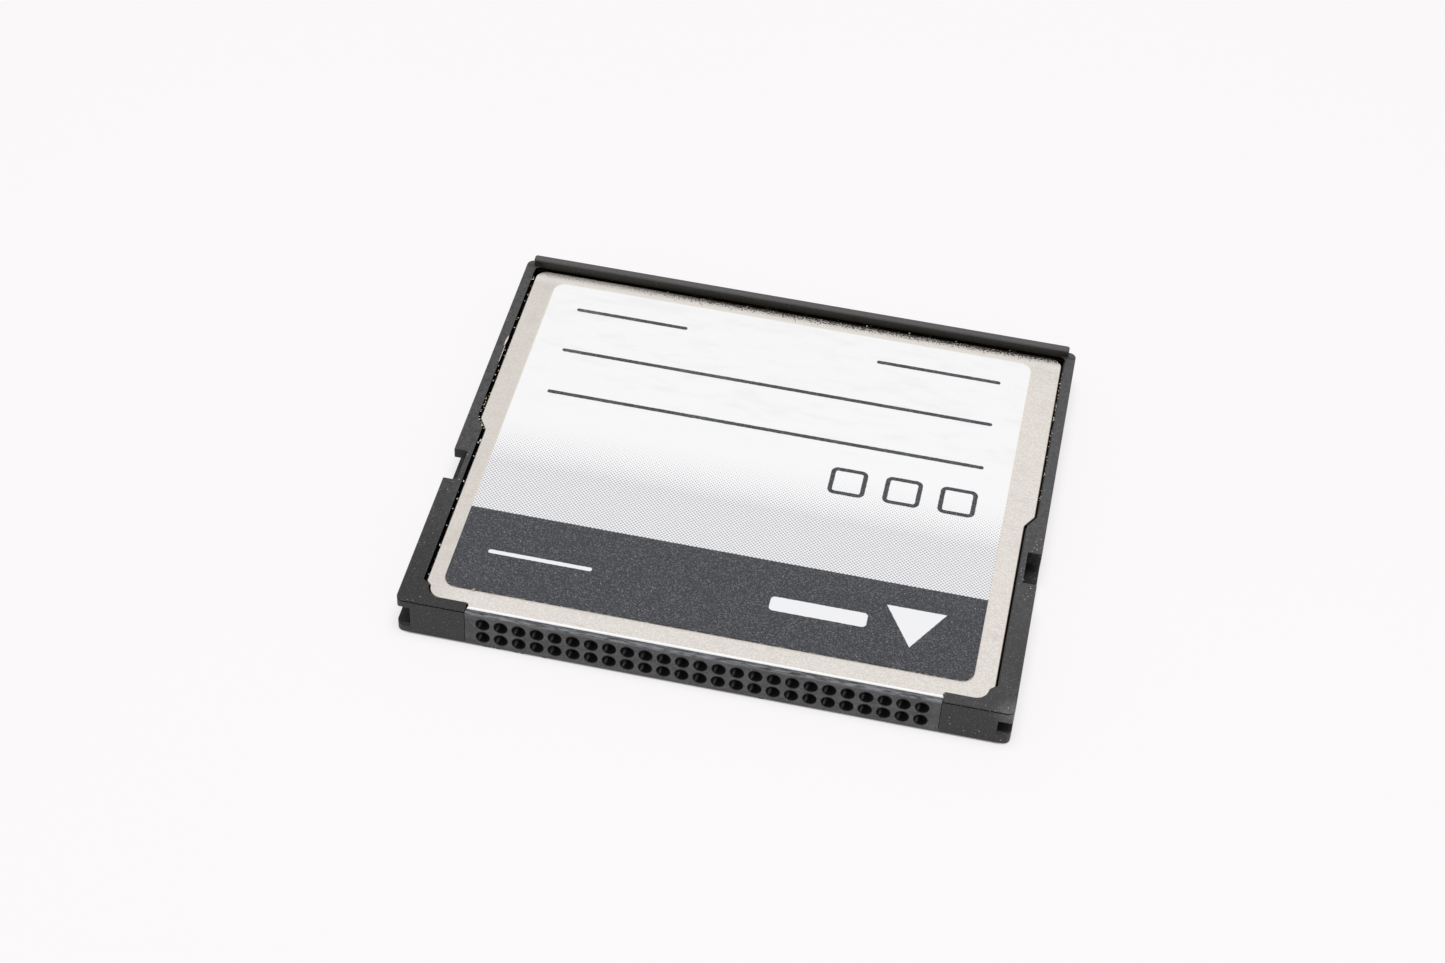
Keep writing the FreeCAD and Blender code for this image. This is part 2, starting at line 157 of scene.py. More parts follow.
def finish_surface(tree, shader, colour, height=None, depth=0.0, normal=None, gloss=None, metal=None):
    """Join a surface's colour, relief (its depth in millimetres), roughness and metal to the shader.

    A recess that sends no light back is shaded as a black metal, because that has no white sheen.
    """
    tree.links.new(colour, shader.inputs["Base Color"])
    if metal is not None:
        tree.links.new(metal, shader.inputs["Metallic"])
    if height is not None:
        relief = {"Height": height, "Distance": depth * MM}
        if normal is not None:
            relief["Normal"] = normal
        tree.links.new(add(tree, "ShaderNodeBump", relief), shader.inputs["Normal"])
    if gloss is not None:
        tree.links.new(gloss, shader.inputs["Roughness"])


def laid_over(tree, below, colour, value, low, high, strength=1.0, within=()):
    """A colour laid over another where a value goes from low to high, within other shares from 0 to 1."""
    rise = {"Value": value, "From Min": low, "From Max": high, "To Max": strength}
    share = add(tree, "ShaderNodeMapRange", rise, interpolation_type="SMOOTHSTEP")
    for limit in within:
        share = add(tree, "ShaderNodeMath", {0: share, 1: limit}, operation="MULTIPLY")
    above = linear(colour) if isinstance(colour, str) else colour
    return add(tree, "ShaderNodeMix", {0: share, 6: below, 7: above}, output=2, data_type="RGBA")


def edges_and_corners(tree, radius):
    """Share of an outer edge, share of an inner corner, and the normal with its edges rounded."""
    rounded = add(tree, "ShaderNodeBevel", {"Radius": radius * MM}, samples=8)
    flat = add(tree, "ShaderNodeNewGeometry", output="True Normal")
    likeness = add(tree, "ShaderNodeVectorMath", {
        0: rounded, 1: flat}, output="Value", operation="DOT_PRODUCT")
    turned = add(tree, "ShaderNodeMapRange", {"Value": likeness, "From Min": 0.995, "From Max": 0.80})
    open_sky = add(tree, "ShaderNodeAmbientOcclusion", {
        "Distance": 3 * radius * MM}, output="AO", samples=8, only_local=True)
    # The inner corner share marks where shade is painted
    corner = add(tree, "ShaderNodeMapRange", {"Value": open_sky, "From Min": 0.8, "From Max": 0.35})
    clear = add(tree, "ShaderNodeMapRange", {"Value": open_sky, "From Min": 0.8, "From Max": 0.95})
    edge = add(tree, "ShaderNodeMath", {0: turned, 1: clear}, operation="MULTIPLY")
    return edge, corner, rounded


def upwards(tree):
    """How far a surface faces up: 1 on a top, 0 on a side and -1 underneath."""
    normal = add(tree, "ShaderNodeNewGeometry", output="True Normal")
    return add(tree, "ShaderNodeSeparateXYZ", {0: normal}, output="Z")


def away_from(tree, value, level):
    """How far a value is from a level, to either side."""
    offset = add(tree, "ShaderNodeMath", {0: value, 1: level}, operation="SUBTRACT")
    return add(tree, "ShaderNodeMath", {0: offset}, operation="ABSOLUTE")


def specks(tree, place, spacing, size, share):
    """Share of small round specks, in so many of the cells, spaced and sized in millimetres."""
    cells = {"Vector": place, "Scale": 1 / spacing}
    distance = add(tree, "ShaderNodeTexVoronoi", cells, output="Distance")
    colour = add(tree, "ShaderNodeTexVoronoi", cells, output="Color")
    draw = add(tree, "ShaderNodeSeparateColor", {0: colour})
    reach = size / spacing
    dot = add(tree, "ShaderNodeMapRange", {"Value": distance, "From Min": reach, "From Max": 0.5 * reach})
    chosen = add(tree, "ShaderNodeMath", {0: draw, 1: 1 - share}, operation="GREATER_THAN")
    return add(tree, "ShaderNodeMath", {0: dot, 1: chosen}, operation="MULTIPLY")


def panel_reach(tree, along):
    """How far the steel panel reaches to either side, from the place along it: less before its jog."""
    return add(tree, "ShaderNodeMapRange", {
        "Value": along, "From Min": JOG_START, "From Max": JOG_END,
        "To Min": PANEL_HIGH.x - PANEL_JOG, "To Max": PANEL_HIGH.x})


def mould_marks(tree, place):
    """Share of the small round marks on the front of the right block."""
    mark_radius = 0.07
    marks = None
    for x, z in MOULD_MARKS:
        spot = (x, FRAME_LOW.y, z)
        distance = add(tree, "ShaderNodeVectorMath", {
            0: place, 1: spot}, output="Value", operation="DISTANCE")
        mark = add(tree, "ShaderNodeMapRange", {
            "Value": distance, "From Min": mark_radius, "From Max": 0.5 * mark_radius})
        if marks is not None:
            mark = add(tree, "ShaderNodeMath", {0: marks, 1: mark}, operation="MAXIMUM")
        marks = mark
    return marks


def panel_gaps(tree, x, y, z):
    """Share of the gaps beside the steel panel, and of the outer half of the right one.

    The right gap is wider than it looks in the photograph, so its outer half is shaded as lit.
    """
    wall_start, wall_full = RAIL_TOP - 0.03, RAIL_TOP - 0.12
    dark_end, dark_full = 0.27, 0.22
    lit_start, lit_full = 0.07, 0.12
    lit_end, lit_last = 0.30, 0.24
    end_room = 0.1
    # The gap share is where shade is painted, and the lit half is where light is painted
    across = add(tree, "ShaderNodeMath", {0: x}, operation="ABSOLUTE")
    past_panel = add(tree, "ShaderNodeMath", {0: across, 1: panel_reach(tree, y)}, operation="SUBTRACT")
    middle = (PANEL_LOW.y + LIP_FRONT) / 2
    half_length = (LIP_FRONT - PANEL_LOW.y) / 2 + end_room
    beside_panel = add(tree, "ShaderNodeMath", {0: y, 1: middle, 2: half_length}, operation="COMPARE")
    above_floor = add(tree, "ShaderNodeMath", {0: z, 1: GAP_FLOOR}, operation="GREATER_THAN")
    wall = add(tree, "ShaderNodeMapRange", {"Value": z, "From Min": wall_start, "From Max": wall_full})
    for limit in (beside_panel, above_floor):
        wall = add(tree, "ShaderNodeMath", {0: wall, 1: limit}, operation="MULTIPLY")
    near = add(tree, "ShaderNodeMapRange", {
        "Value": past_panel, "From Min": dark_end, "From Max": dark_full})
    gap = add(tree, "ShaderNodeMath", {0: wall, 1: near}, operation="MULTIPLY")
    outer = add(tree, "ShaderNodeMapRange", {
        "Value": past_panel, "From Min": lit_start, "From Max": lit_full})
    inner = add(tree, "ShaderNodeMapRange", {
        "Value": past_panel, "From Min": lit_end, "From Max": lit_last})
    at_right = add(tree, "ShaderNodeMath", {0: x, 1: 0.0}, operation="GREATER_THAN")
    lit_half = wall
    for limit in (outer, inner, at_right):
        lit_half = add(tree, "ShaderNodeMath", {0: lit_half, 1: limit}, operation="MULTIPLY")
    return gap, lit_half


def frame_hollows(tree, y, z, facing_up):
    """Share of the notches' floors, and of all the frame's hollows that send little light back."""
    hollow_reach = 1.2
    notch_full = PANEL_LOW.z - 0.5
    front_end, front_full = FRAME_LOW.y + 0.3, FRAME_LOW.y + 0.2
    seam_edge, seam_full = 0.06, 0.03
    # Painted shade: where little open sky is seen, on the notches' floors and along the parting seam
    open_sky = add(tree, "ShaderNodeAmbientOcclusion", {
        "Distance": hollow_reach * MM}, output="AO", samples=8, only_local=True)
    hollows = add(tree, "ShaderNodeMapRange", {
        "Value": open_sky, "From Min": 0.62, "From Max": 0.30, "To Max": 0.55})
    below = add(tree, "ShaderNodeMapRange", {
        "Value": z, "From Min": GAP_FLOOR, "From Max": notch_full, "To Max": 0.35})
    notch = add(tree, "ShaderNodeMath", {0: below, 1: facing_up}, operation="MULTIPLY")
    seam = add(tree, "ShaderNodeMapRange", {
        "Value": away_from(tree, z, PARTING_HEIGHT), "From Min": seam_edge, "From Max": seam_full})
    on_front = add(tree, "ShaderNodeMapRange", {"Value": y, "From Min": front_end, "From Max": front_full})
    seam = add(tree, "ShaderNodeMath", {0: seam, 1: on_front}, operation="MULTIPLY")
    for hollow in (notch, seam):
        hollows = add(tree, "ShaderNodeMath", {0: hollows, 1: hollow}, operation="MAXIMUM")
    return notch, hollows


def moulded_frame_plastic():
    """Glass-filled PBT, injection moulded in a spark-eroded tool.

    It gives a near black satin with an even fine grain, cloudy tops, light sparkles of glass and a
    scuffed pale right corner. Painted light makes the tops lighter than the sides and lighter towards
    the rear and the right, and lights the lip's top and the outer half of the right gap; painted shade
    darkens the tops by the left front corner. The edges are paler from wear and from a painted
    highlight. Painted shade darkens the inner corners, the hollows, the notches' floors, the parting
    seam, the gaps beside the panel and the lip's front face, whose foot is dark with dirt. The grain is
    0.13 mm, as coarse as it has to be to show.
    """
    grain_size = 0.13
    mottle_size = 0.32
    cloud_size = 2.6
    rub_size = 0.7
    edge_radius = 0.08
    sparkle_gap, sparkle_size = 0.36, 0.06
    dust_gap, dust_size = 1.1, 0.07
    crumb_gap, crumb_size = 0.20, 0.06
    bruise_radius = 1.8
    shade_radius = 12.0
    crumb_radius = 3.4
    notch_half = 0.9
    lip_half = 0.15
    material, tree, shader, place = new_surface("moulded_frame_plastic", 0.5)
    grain = add(tree, "ShaderNodeTexNoise", {"Vector": place, "Scale": 1 / grain_size, "Detail": 2.0})
    mottle = add(tree, "ShaderNodeTexNoise", {"Vector": place, "Scale": 1 / mottle_size, "Detail": 4.0})
    clouds = add(tree, "ShaderNodeTexNoise", {"Vector": place, "Scale": 1 / cloud_size, "Detail": 5.0})
    rub = add(tree, "ShaderNodeTexNoise", {"Vector": place, "Scale": 1 / rub_size, "Detail": 5.0})
    edge, corner, rounded = edges_and_corners(tree, edge_radius)
    x, y, z = (add(tree, "ShaderNodeSeparateXYZ", {0: place}, output=axis) for axis in "XYZ")
    facing_up = add(tree, "ShaderNodeMapRange", {"Value": upwards(tree), "From Min": 0.5, "From Max": 0.9})
    # Painted light: the tops are lighter than the sides, and lighter towards the rear
    base = laid_over(tree, linear("#191919"), "#3C3C3D", y, FRAME_LOW.y + 0.2, 5.0, within=(facing_up,))
    base = laid_over(tree, base, "#4B4B4D", clouds, 0.38, 0.7, 0.3, within=(facing_up,))
    base = laid_over(tree, base, "#111111", mottle, 0.52, 0.36, 0.5)
    base = laid_over(tree, base, "#6A6A6B", grain, 0.52, 0.70, 0.42)
    # Paler edges: wear, and a painted highlight along them
    base = laid_over(tree, base, "#8E8E90", edge, 0.2, 0.9, 0.55, within=(rub,))
    # Painted shade in the inner corners
    base = laid_over(tree, base, "#0C0B0A", corner, 0.3, 1.0, 0.8)

    from_right, from_left, from_notch = (
        add(tree, "ShaderNodeVectorMath", {0: place, 1: spot}, output="Value", operation="DISTANCE")
        for spot in (
            (FRAME_HIGH.x, FRAME_LOW.y, RAIL_TOP),
            (FRAME_LOW.x, FRAME_LOW.y, RAIL_TOP),
            (FRAME_HIGH.x - 0.7, NOTCH_MIDDLE, RAIL_TOP),
        ))
    base = laid_over(tree, base, "#8A8A8B", from_right, bruise_radius, 0.2, 0.8, within=(grain,))
    # Painted shade on the tops by the left front corner, and painted light on the tops towards the right
    base = laid_over(tree, base, "#101010", from_left, shade_radius, 3.0, 0.5, within=(facing_up,))
    base = laid_over(tree, base, "#565658", x, 5.0, 20.0, 0.2, within=(facing_up,))
    sparkles = specks(tree, place, sparkle_gap, sparkle_size, 0.25)
    base = laid_over(tree, base, "#A3A3A1", sparkles, 0.3, 1.0, 0.6)
    dusted = specks(tree, place, dust_gap, dust_size, 0.14)
    base = laid_over(tree, base, "#C9C5BC", dusted, 0.3, 1.0, 0.8)
    crumbs = specks(tree, place, crumb_gap, crumb_size, 0.35)
    near_notch = add(tree, "ShaderNodeMapRange", {
        "Value": from_notch, "From Min": crumb_radius, "From Max": 1.6})
    base = laid_over(tree, base, "#B9B8B4", crumbs, 0.3, 1.0, 0.8, within=(near_notch, facing_up))

    notch, hollows = frame_hollows(tree, y, z, facing_up)
    gap, lit_half = panel_gaps(tree, x, y, z)
    from_middle = away_from(tree, y, NOTCH_MIDDLE)
    # Painted shade on the notches' floors
    base = laid_over(tree, base, "#0A0A09", from_middle, notch_half, 0.2, 1.0, within=(notch,))
    base = laid_over(tree, base, "#B5B0A8", mould_marks(tree, place), 0.2, 1.0, 0.8)
    # Painted shade in the hollows, the parting seam and the gaps beside the panel, kept dark by a black
    # metal; painted light in the outer half of the right gap
    black = add(tree, "ShaderNodeMath", {0: gap, 1: hollows}, operation="MAXIMUM")
    base = laid_over(tree, base, "#070706", black, 0.0, 0.9)
    base = laid_over(tree, base, "#58585A", lit_half, 0.0, 1.0, 0.8)
    unlit = add(tree, "ShaderNodeMath", {0: 1.0, 1: lit_half}, operation="SUBTRACT")
    black = add(tree, "ShaderNodeMath", {0: black, 1: unlit}, operation="MULTIPLY")

    # Painted shade on the lip's front face, browner and darkest at its foot, where dirt gathers
    lip_face = add(tree, "ShaderNodeMath", {0: y, 1: LIP_FRONT, 2: lip_half}, operation="COMPARE")
    lip_foot = add(tree, "ShaderNodeMapRange", {
        "Value": z, "From Min": RAIL_TOP + 0.2, "From Max": RAIL_TOP - 0.1})
    base = laid_over(tree, base, "#302B24", lip_face, 0.0, 1.0, 0.5)
    base = laid_over(tree, base, "#2A241C", lip_foot, 0.0, 1.0, 0.7, within=(lip_face,))
    # Painted light on the lip's top
    base = laid_over(tree, base, "#535354", z, RAIL_TOP + 0.3, RAIL_TOP + 0.5, 0.6, within=(facing_up,))
    gloss = add(tree, "ShaderNodeMapRange", {
        "Value": clouds, "From Min": 0.3, "From Max": 0.7, "To Min": 0.44, "To Max": 0.56})
    finish_surface(tree, shader, base, grain, 0.010, rounded, gloss, black)
    return material


def across_socket(tree, place):
    """Place across the nearest socket, from its axis."""
    half = SOCKET_PITCH / 2
    row_height = (HOUSING_LOW.z + HOUSING_HIGH.z) / 2 + half
    offset = add(tree, "ShaderNodeVectorMath", {0: place, 1: (0.0, 0.0, row_height)}, operation="SUBTRACT")
    offset = add(tree, "ShaderNodeVectorMath", {
        0: offset, 1: (half, 0.0, half), 2: (-half, -1.0, -half)}, operation="WRAP")
    return add(tree, "ShaderNodeVectorMath", {0: offset, 1: (1.0, 0.0, 1.0)}, operation="MULTIPLY")


def moulded_connector_plastic():
    """Glass-filled liquid crystal polymer, injection moulded in a polished tool.

    It gives a greyer satin than the frame, mottled along the flow of the melt, with pale glass
    flecks and nicked edges, and a bluish scuffed line where the top front edge has rubbed on a slot.
    Painted shade darkens the sockets just behind their mouths, the mouths themselves and the inner
    corners near the front, and a painted highlight lies on each funnel's lower wall.
    """
    flow_size = 0.5
    flow_stretch = (0.35, 1.0, 1.0)
    grain_size = 0.08
    fleck_gap, fleck_size = 0.36, 0.06
    scuff_size = 0.35
    scuff_stretch = (0.5, 3.0, 3.0)
    edge_radius = 0.05
    rim_start, rim_full = 0.22, 0.32
    material, tree, shader, place = new_surface("moulded_connector_plastic", 0.46)
    along = add(tree, "ShaderNodeMapping", {"Vector": place, "Scale": flow_stretch})
    mottle = add(tree, "ShaderNodeTexNoise", {
        "Vector": along, "Scale": 1 / flow_size, "Detail": 6.0, "Roughness": 0.65})
    grain = add(tree, "ShaderNodeTexNoise", {"Vector": place, "Scale": 1 / grain_size, "Detail": 2.0})
    streaks = add(tree, "ShaderNodeMapping", {"Vector": place, "Scale": scuff_stretch})
    rub = add(tree, "ShaderNodeTexNoise", {"Vector": streaks, "Scale": 1 / scuff_size, "Detail": 5.0})
    edge, corner, rounded = edges_and_corners(tree, edge_radius)
    x, y, z = (add(tree, "ShaderNodeSeparateXYZ", {0: place}, output=axis) for axis in "XYZ")
    near_front = add(tree, "ShaderNodeMapRange", {
        "Value": y, "From Min": HOUSING_LOW.y + 0.45, "From Max": HOUSING_LOW.y + 0.05})
    near_top = add(tree, "ShaderNodeMapRange", {
        "Value": z, "From Min": HOUSING_HIGH.z - 0.24, "From Max": HOUSING_HIGH.z - 0.08})
    base = laid_over(tree, linear("#343435"), "#505052", mottle, 0.34, 0.66)
    base = laid_over(tree, base, "#6A6A6D", grain, 0.5, 0.72, 0.8)
    base = laid_over(tree, base, "#9A9CA1", rub, 0.36, 0.62, 0.7, within=(near_front, near_top))
    base = laid_over(tree, base, "#85878B", edge, 0.3, 1.0, 0.35, within=(rub, near_top))
    flecks = specks(tree, place, fleck_gap, fleck_size, 0.3)
    base = laid_over(tree, base, "#ACACAA", flecks, 0.3, 1.0, 0.6)

    below_top = add(tree, "ShaderNodeMapRange", {
        "Value": z, "From Min": HOUSING_HIGH.z - rim_start, "From Max": HOUSING_HIGH.z - rim_full})
    above_foot = add(tree, "ShaderNodeMapRange", {
        "Value": z, "From Min": HOUSING_LOW.z + rim_start, "From Max": HOUSING_LOW.z + rim_full})
    behind_front = add(tree, "ShaderNodeMapRange", {
        "Value": y, "From Min": HOUSING_LOW.y + 0.002, "From Max": HOUSING_LOW.y + 0.02})
    near_mouth = add(tree, "ShaderNodeMapRange", {
        "Value": y, "From Min": HOUSING_LOW.y + 0.7, "From Max": HOUSING_LOW.y + 0.3})
    rows = (below_top, above_foot)
    # Painted shade in the sockets just behind their mouths
    base = laid_over(tree, base, "#131213", behind_front, 0.0, 1.0, 1.0, within=rows)
    # Painted shade over each socket's mouth, kept dark by a black metal
    across = across_socket(tree, place)
    mouth = add(tree, "ShaderNodeVectorMath", {
        0: across, 1: (1 / MOUTH_HALF_WIDTH, 0.0, 1 / MOUTH_HALF_HEIGHT)}, operation="MULTIPLY")
    mouth = add(tree, "ShaderNodeVectorMath", {0: mouth}, output="Value", operation="LENGTH")
    mouth = add(tree, "ShaderNodeMapRange", {"Value": mouth, "From Min": 1.04, "From Max": 0.98})
    row_half = SOCKETS_IN_ROW / 2 * SOCKET_PITCH
    from_middle = add(tree, "ShaderNodeMath", {0: x}, operation="ABSOLUTE")
    in_row = add(tree, "ShaderNodeMath", {0: from_middle, 1: row_half}, operation="LESS_THAN")
    mouth = add(tree, "ShaderNodeMath", {0: mouth, 1: in_row}, operation="MULTIPLY")
    base = laid_over(tree, base, "#0E0E0F", mouth, 0.0, 1.0, 1.0, within=(*rows, near_mouth))
    black = add(tree, "ShaderNodeMapRange", {"Value": mouth, "To Max": 0.5})
    for limit in (*rows, near_mouth):
        black = add(tree, "ShaderNodeMath", {0: black, 1: limit}, operation="MULTIPLY")
    # Painted highlight on the lower wall of each funnel, in the rows, behind the front and near the mouth
    from_glint = add(tree, "ShaderNodeVectorMath", {
        0: across, 1: SOCKET_GLINT}, output="Value", operation="DISTANCE")
    rubbed = (*rows, behind_front, near_mouth, mottle)
    base = laid_over(tree, base, "#A6A6A8", from_glint, 0.14, 0.05, 1.0, within=rubbed)
    # Painted shade in the inner corners near the front
    base = laid_over(tree, base, "#0C0B0A", corner, 0.4, 1.0, 0.5, within=(near_front,))
    dull = add(tree, "ShaderNodeMapRange", {"Value": behind_front, "To Min": 0.46, "To Max": 1.0})
    finish_surface(tree, shader, base, mottle, 0.02, rounded, dull, black)
    return material


def satin_steel_sheet():
    """Stainless steel sheet, 0.2 mm, rolled to a satin finish and blanked on a press.

    It gives a pale neutral grey with a fine uneven grain and faint handling marks, edges that the
    press rolled over with a painted highlight along them, a painted white glint along the front edge,
    painted light towards the rear margin, and brown-grey dirt along the foot of the lip.
    """
    grain_size = 0.12
    line_width = 0.16
    line_stretch = (0.12, 1.0, 1.0)
    stain_size = 1.8
    fringe_size = 0.14
    fringe_reach = 0.95
    edge_radius = 0.05
    creep_corner = 0.9
    glint_start, glint_full = PANEL_LOW.y + 0.23, PANEL_LOW.y + 0.17
    material, tree, shader, place = new_surface("satin_steel_sheet", 0.42, metallic=1.0)
    shader.inputs["Anisotropic"].default_value = 0.15
    grain = add(tree, "ShaderNodeTexNoise", {
        "Vector": place, "Scale": 1 / grain_size, "Detail": 3.0, "Roughness": 0.6})
    rolled = add(tree, "ShaderNodeMapping", {"Vector": place, "Scale": line_stretch})
    lines = add(tree, "ShaderNodeTexNoise", {"Vector": rolled, "Scale": 1 / line_width, "Detail": 3.0})
    stains = add(tree, "ShaderNodeTexNoise", {"Vector": place, "Scale": 1 / stain_size, "Detail": 5.0})
    edge, _, rounded = edges_and_corners(tree, edge_radius)
    x, y = (add(tree, "ShaderNodeSeparateXYZ", {0: place}, output=axis) for axis in "XY")
    base = laid_over(tree, linear("#D9D2CD"), "#EFEAE4", grain, 0.3, 0.7)
    base = laid_over(tree, base, "#CFC8C2", lines, 0.5, 0.75, 0.35)
    base = laid_over(tree, base, "#C9C2BA", stains, 0.55, 0.75, 0.35)
    base = laid_over(tree, base, "#C6BFB8", x, LABEL_LOW.x + 1.5, LABEL_LOW.x - 0.3, 0.35)
    # Painted light towards the rear margin
    base = laid_over(tree, base, "#FEF9F2", y, LABEL_HIGH.y - 0.5, LABEL_HIGH.y + 0.6, 0.8)
    creep = bar_distance(tree, flattened(tree, place), LABEL_LOW, LABEL_HIGH, creep_corner)
    beside_paper = add(tree, "ShaderNodeMapRange", {
        "Value": y, "From Min": BAND_EDGE, "From Max": BAND_EDGE + 1.0})
    base = laid_over(tree, base, "#F7EACF", creep, 0.18, 0.06, 0.5, within=(stains, beside_paper))
    # Painted highlight along the edges, and a painted white glint along the front edge, where the metal is
    # taken away
    base = laid_over(tree, base, "#FCFAF6", edge, 0.1, 0.6, 0.95)
    glint = add(tree, "ShaderNodeMapRange", {"Value": y, "From Min": glint_start, "From Max": glint_full})
    base = laid_over(tree, base, "#FFFFFF", glint, 0.0, 1.0)
    metal = add(tree, "ShaderNodeMath", {0: 1.0, 1: glint}, operation="SUBTRACT")
    past_edge = add(tree, "ShaderNodeMath", {0: x, 1: panel_reach(tree, y)}, operation="SUBTRACT")
    base = laid_over(tree, base, "#5E4030", past_edge, -0.12, -0.05, 0.95)
    fringe = add(tree, "ShaderNodeTexNoise", {
        "Vector": place, "Scale": 1 / fringe_size, "Detail": 4.0, "Roughness": 0.7})
    fringe = add(tree, "ShaderNodeMapRange", {"Value": fringe, "From Min": 0.33, "From Max": 0.67})
    to_lip = add(tree, "ShaderNodeMapRange", {
        "Value": y, "From Min": PANEL_HIGH.y - fringe_reach, "From Max": PANEL_HIGH.y + 0.05})
    reach = add(tree, "ShaderNodeMath", {0: to_lip, 1: fringe}, operation="ADD")
    to_right = add(tree, "ShaderNodeMapRange", {
        "Value": x, "From Min": -14.0, "From Max": -6.0, "To Min": 0.3})
    base = laid_over(tree, base, "#332D26", reach, 1.0, 1.2, 0.9, within=(to_right,))
    gloss = add(tree, "ShaderNodeMapRange", {
        "Value": grain, "From Min": 0.3, "From Max": 0.7, "To Min": 0.38, "To Max": 0.48})
    finish_surface(tree, shader, base, grain, 0.003, rounded, gloss, metal)
    return material


def flattened(tree, place):
    """A place with its height taken away."""
    return add(tree, "ShaderNodeVectorMath", {0: place, 1: (1.0, 1.0, 0.0)}, operation="MULTIPLY")


def bar_distance(tree, flat, low, high, radius):
    """Distance outside a bar with rounded corners, from its lower left and upper right corners."""
    centre = ((low[0] + high[0]) / 2, (low[1] + high[1]) / 2, 0.0)
    reach = ((high[0] - low[0]) / 2 - radius, (high[1] - low[1]) / 2 - radius, 0.0)
    offset = add(tree, "ShaderNodeVectorMath", {0: flat, 1: centre}, operation="SUBTRACT")
    offset = add(tree, "ShaderNodeVectorMath", {0: offset}, operation="ABSOLUTE")
    offset = add(tree, "ShaderNodeVectorMath", {0: offset, 1: reach}, operation="SUBTRACT")
    offset = add(tree, "ShaderNodeVectorMath", {0: offset, 1: (0.0, 0.0, 0.0)}, operation="MAXIMUM")
    length = add(tree, "ShaderNodeVectorMath", {0: offset}, output="Value", operation="LENGTH")
    return add(tree, "ShaderNodeMath", {0: length, 1: radius}, operation="SUBTRACT")


def printed_box(tree, flat, low, high, radius, weight):
    """Distance outside the line of a box drawn in outline."""
    outside = bar_distance(tree, flat, low, high, radius)
    from_line = add(tree, "ShaderNodeMath", {0: outside, 1: weight / 2}, operation="ADD")
    from_line = add(tree, "ShaderNodeMath", {0: from_line}, operation="ABSOLUTE")
    return add(tree, "ShaderNodeMath", {0: from_line, 1: weight / 2}, operation="SUBTRACT")


def printed_arrow(tree, flat, tip, half_width, height):
    """Distance outside a solid triangle that points to the connector edge."""
    offset = add(tree, "ShaderNodeVectorMath", {0: flat, 1: (*tip, 0.0)}, operation="SUBTRACT")
    across = add(tree, "ShaderNodeMath", {
        0: add(tree, "ShaderNodeSeparateXYZ", {0: offset}, output="X")}, operation="ABSOLUTE")
    rise = add(tree, "ShaderNodeSeparateXYZ", {0: offset}, output="Y")
    allowed = add(tree, "ShaderNodeMath", {0: rise, 1: half_width / height}, operation="MULTIPLY")
    beside = add(tree, "ShaderNodeMath", {0: across, 1: allowed}, operation="SUBTRACT")
    above = add(tree, "ShaderNodeMath", {0: rise, 1: height}, operation="SUBTRACT")
    return add(tree, "ShaderNodeMath", {0: beside, 1: above}, operation="MAXIMUM")


def nearest(tree, distances):
    """Distance to the nearest of several printed shapes."""
    result = distances[0]
    for distance in distances[1:]:
        result = add(tree, "ShaderNodeMath", {0: result, 1: distance}, operation="MINIMUM")
    return result


def dark_print(tree, flat):
    """Distance to the thin rules and the tick boxes."""
    half = RULE_WEIGHT / 2
    left_rule, right_rule = 8.6, 9.4
    upper, middle, lower = (LABEL_HIGH.y - drop for drop in (2.6, 7.2, 11.8))
    rules = (
        (LINE_LEFT, LINE_LEFT + left_rule, upper),
        (LINE_RIGHT - right_rule, LINE_RIGHT, upper),
        (LINE_LEFT, LINE_RIGHT, middle),
        (LINE_LEFT, LINE_RIGHT, lower),
    )
    shapes = [bar_distance(tree, flat, (x0, y - half), (x1, y + half), 0.9 * half) for x0, x1, y in rules]
    for index in range(BOX_COUNT):
        right = LINE_RIGHT - BOX_PITCH * index
        low, high = (right - BOX_WIDTH, BOX_LOW), (right, BOX_HIGH)
        shapes.append(printed_box(tree, flat, low, high, BOX_CORNER, RULE_WEIGHT))
    return nearest(tree, shapes)


def white_print(tree, flat):
    """Distance to what stays white in the dark band: an arrow, a bar and a thin rule."""
    half = RULE_WEIGHT / 2
    middle = -12.3
    tip, arrow_half, arrow_height = (13.6, -14.0), 2.1, 3.5
    bar_left, bar_right, bar_half, bar_corner = 3.6, 10.4, 0.65, 0.3
    rule_right = LINE_LEFT + 7.4
    return nearest(tree, [
        printed_arrow(tree, flat, tip, arrow_half, arrow_height),
        bar_distance(tree, flat, (bar_left, middle - bar_half), (bar_right, middle + bar_half), bar_corner),
        bar_distance(tree, flat, (LINE_LEFT, middle - half), (rule_right, middle + half), 0.9 * half),
    ])


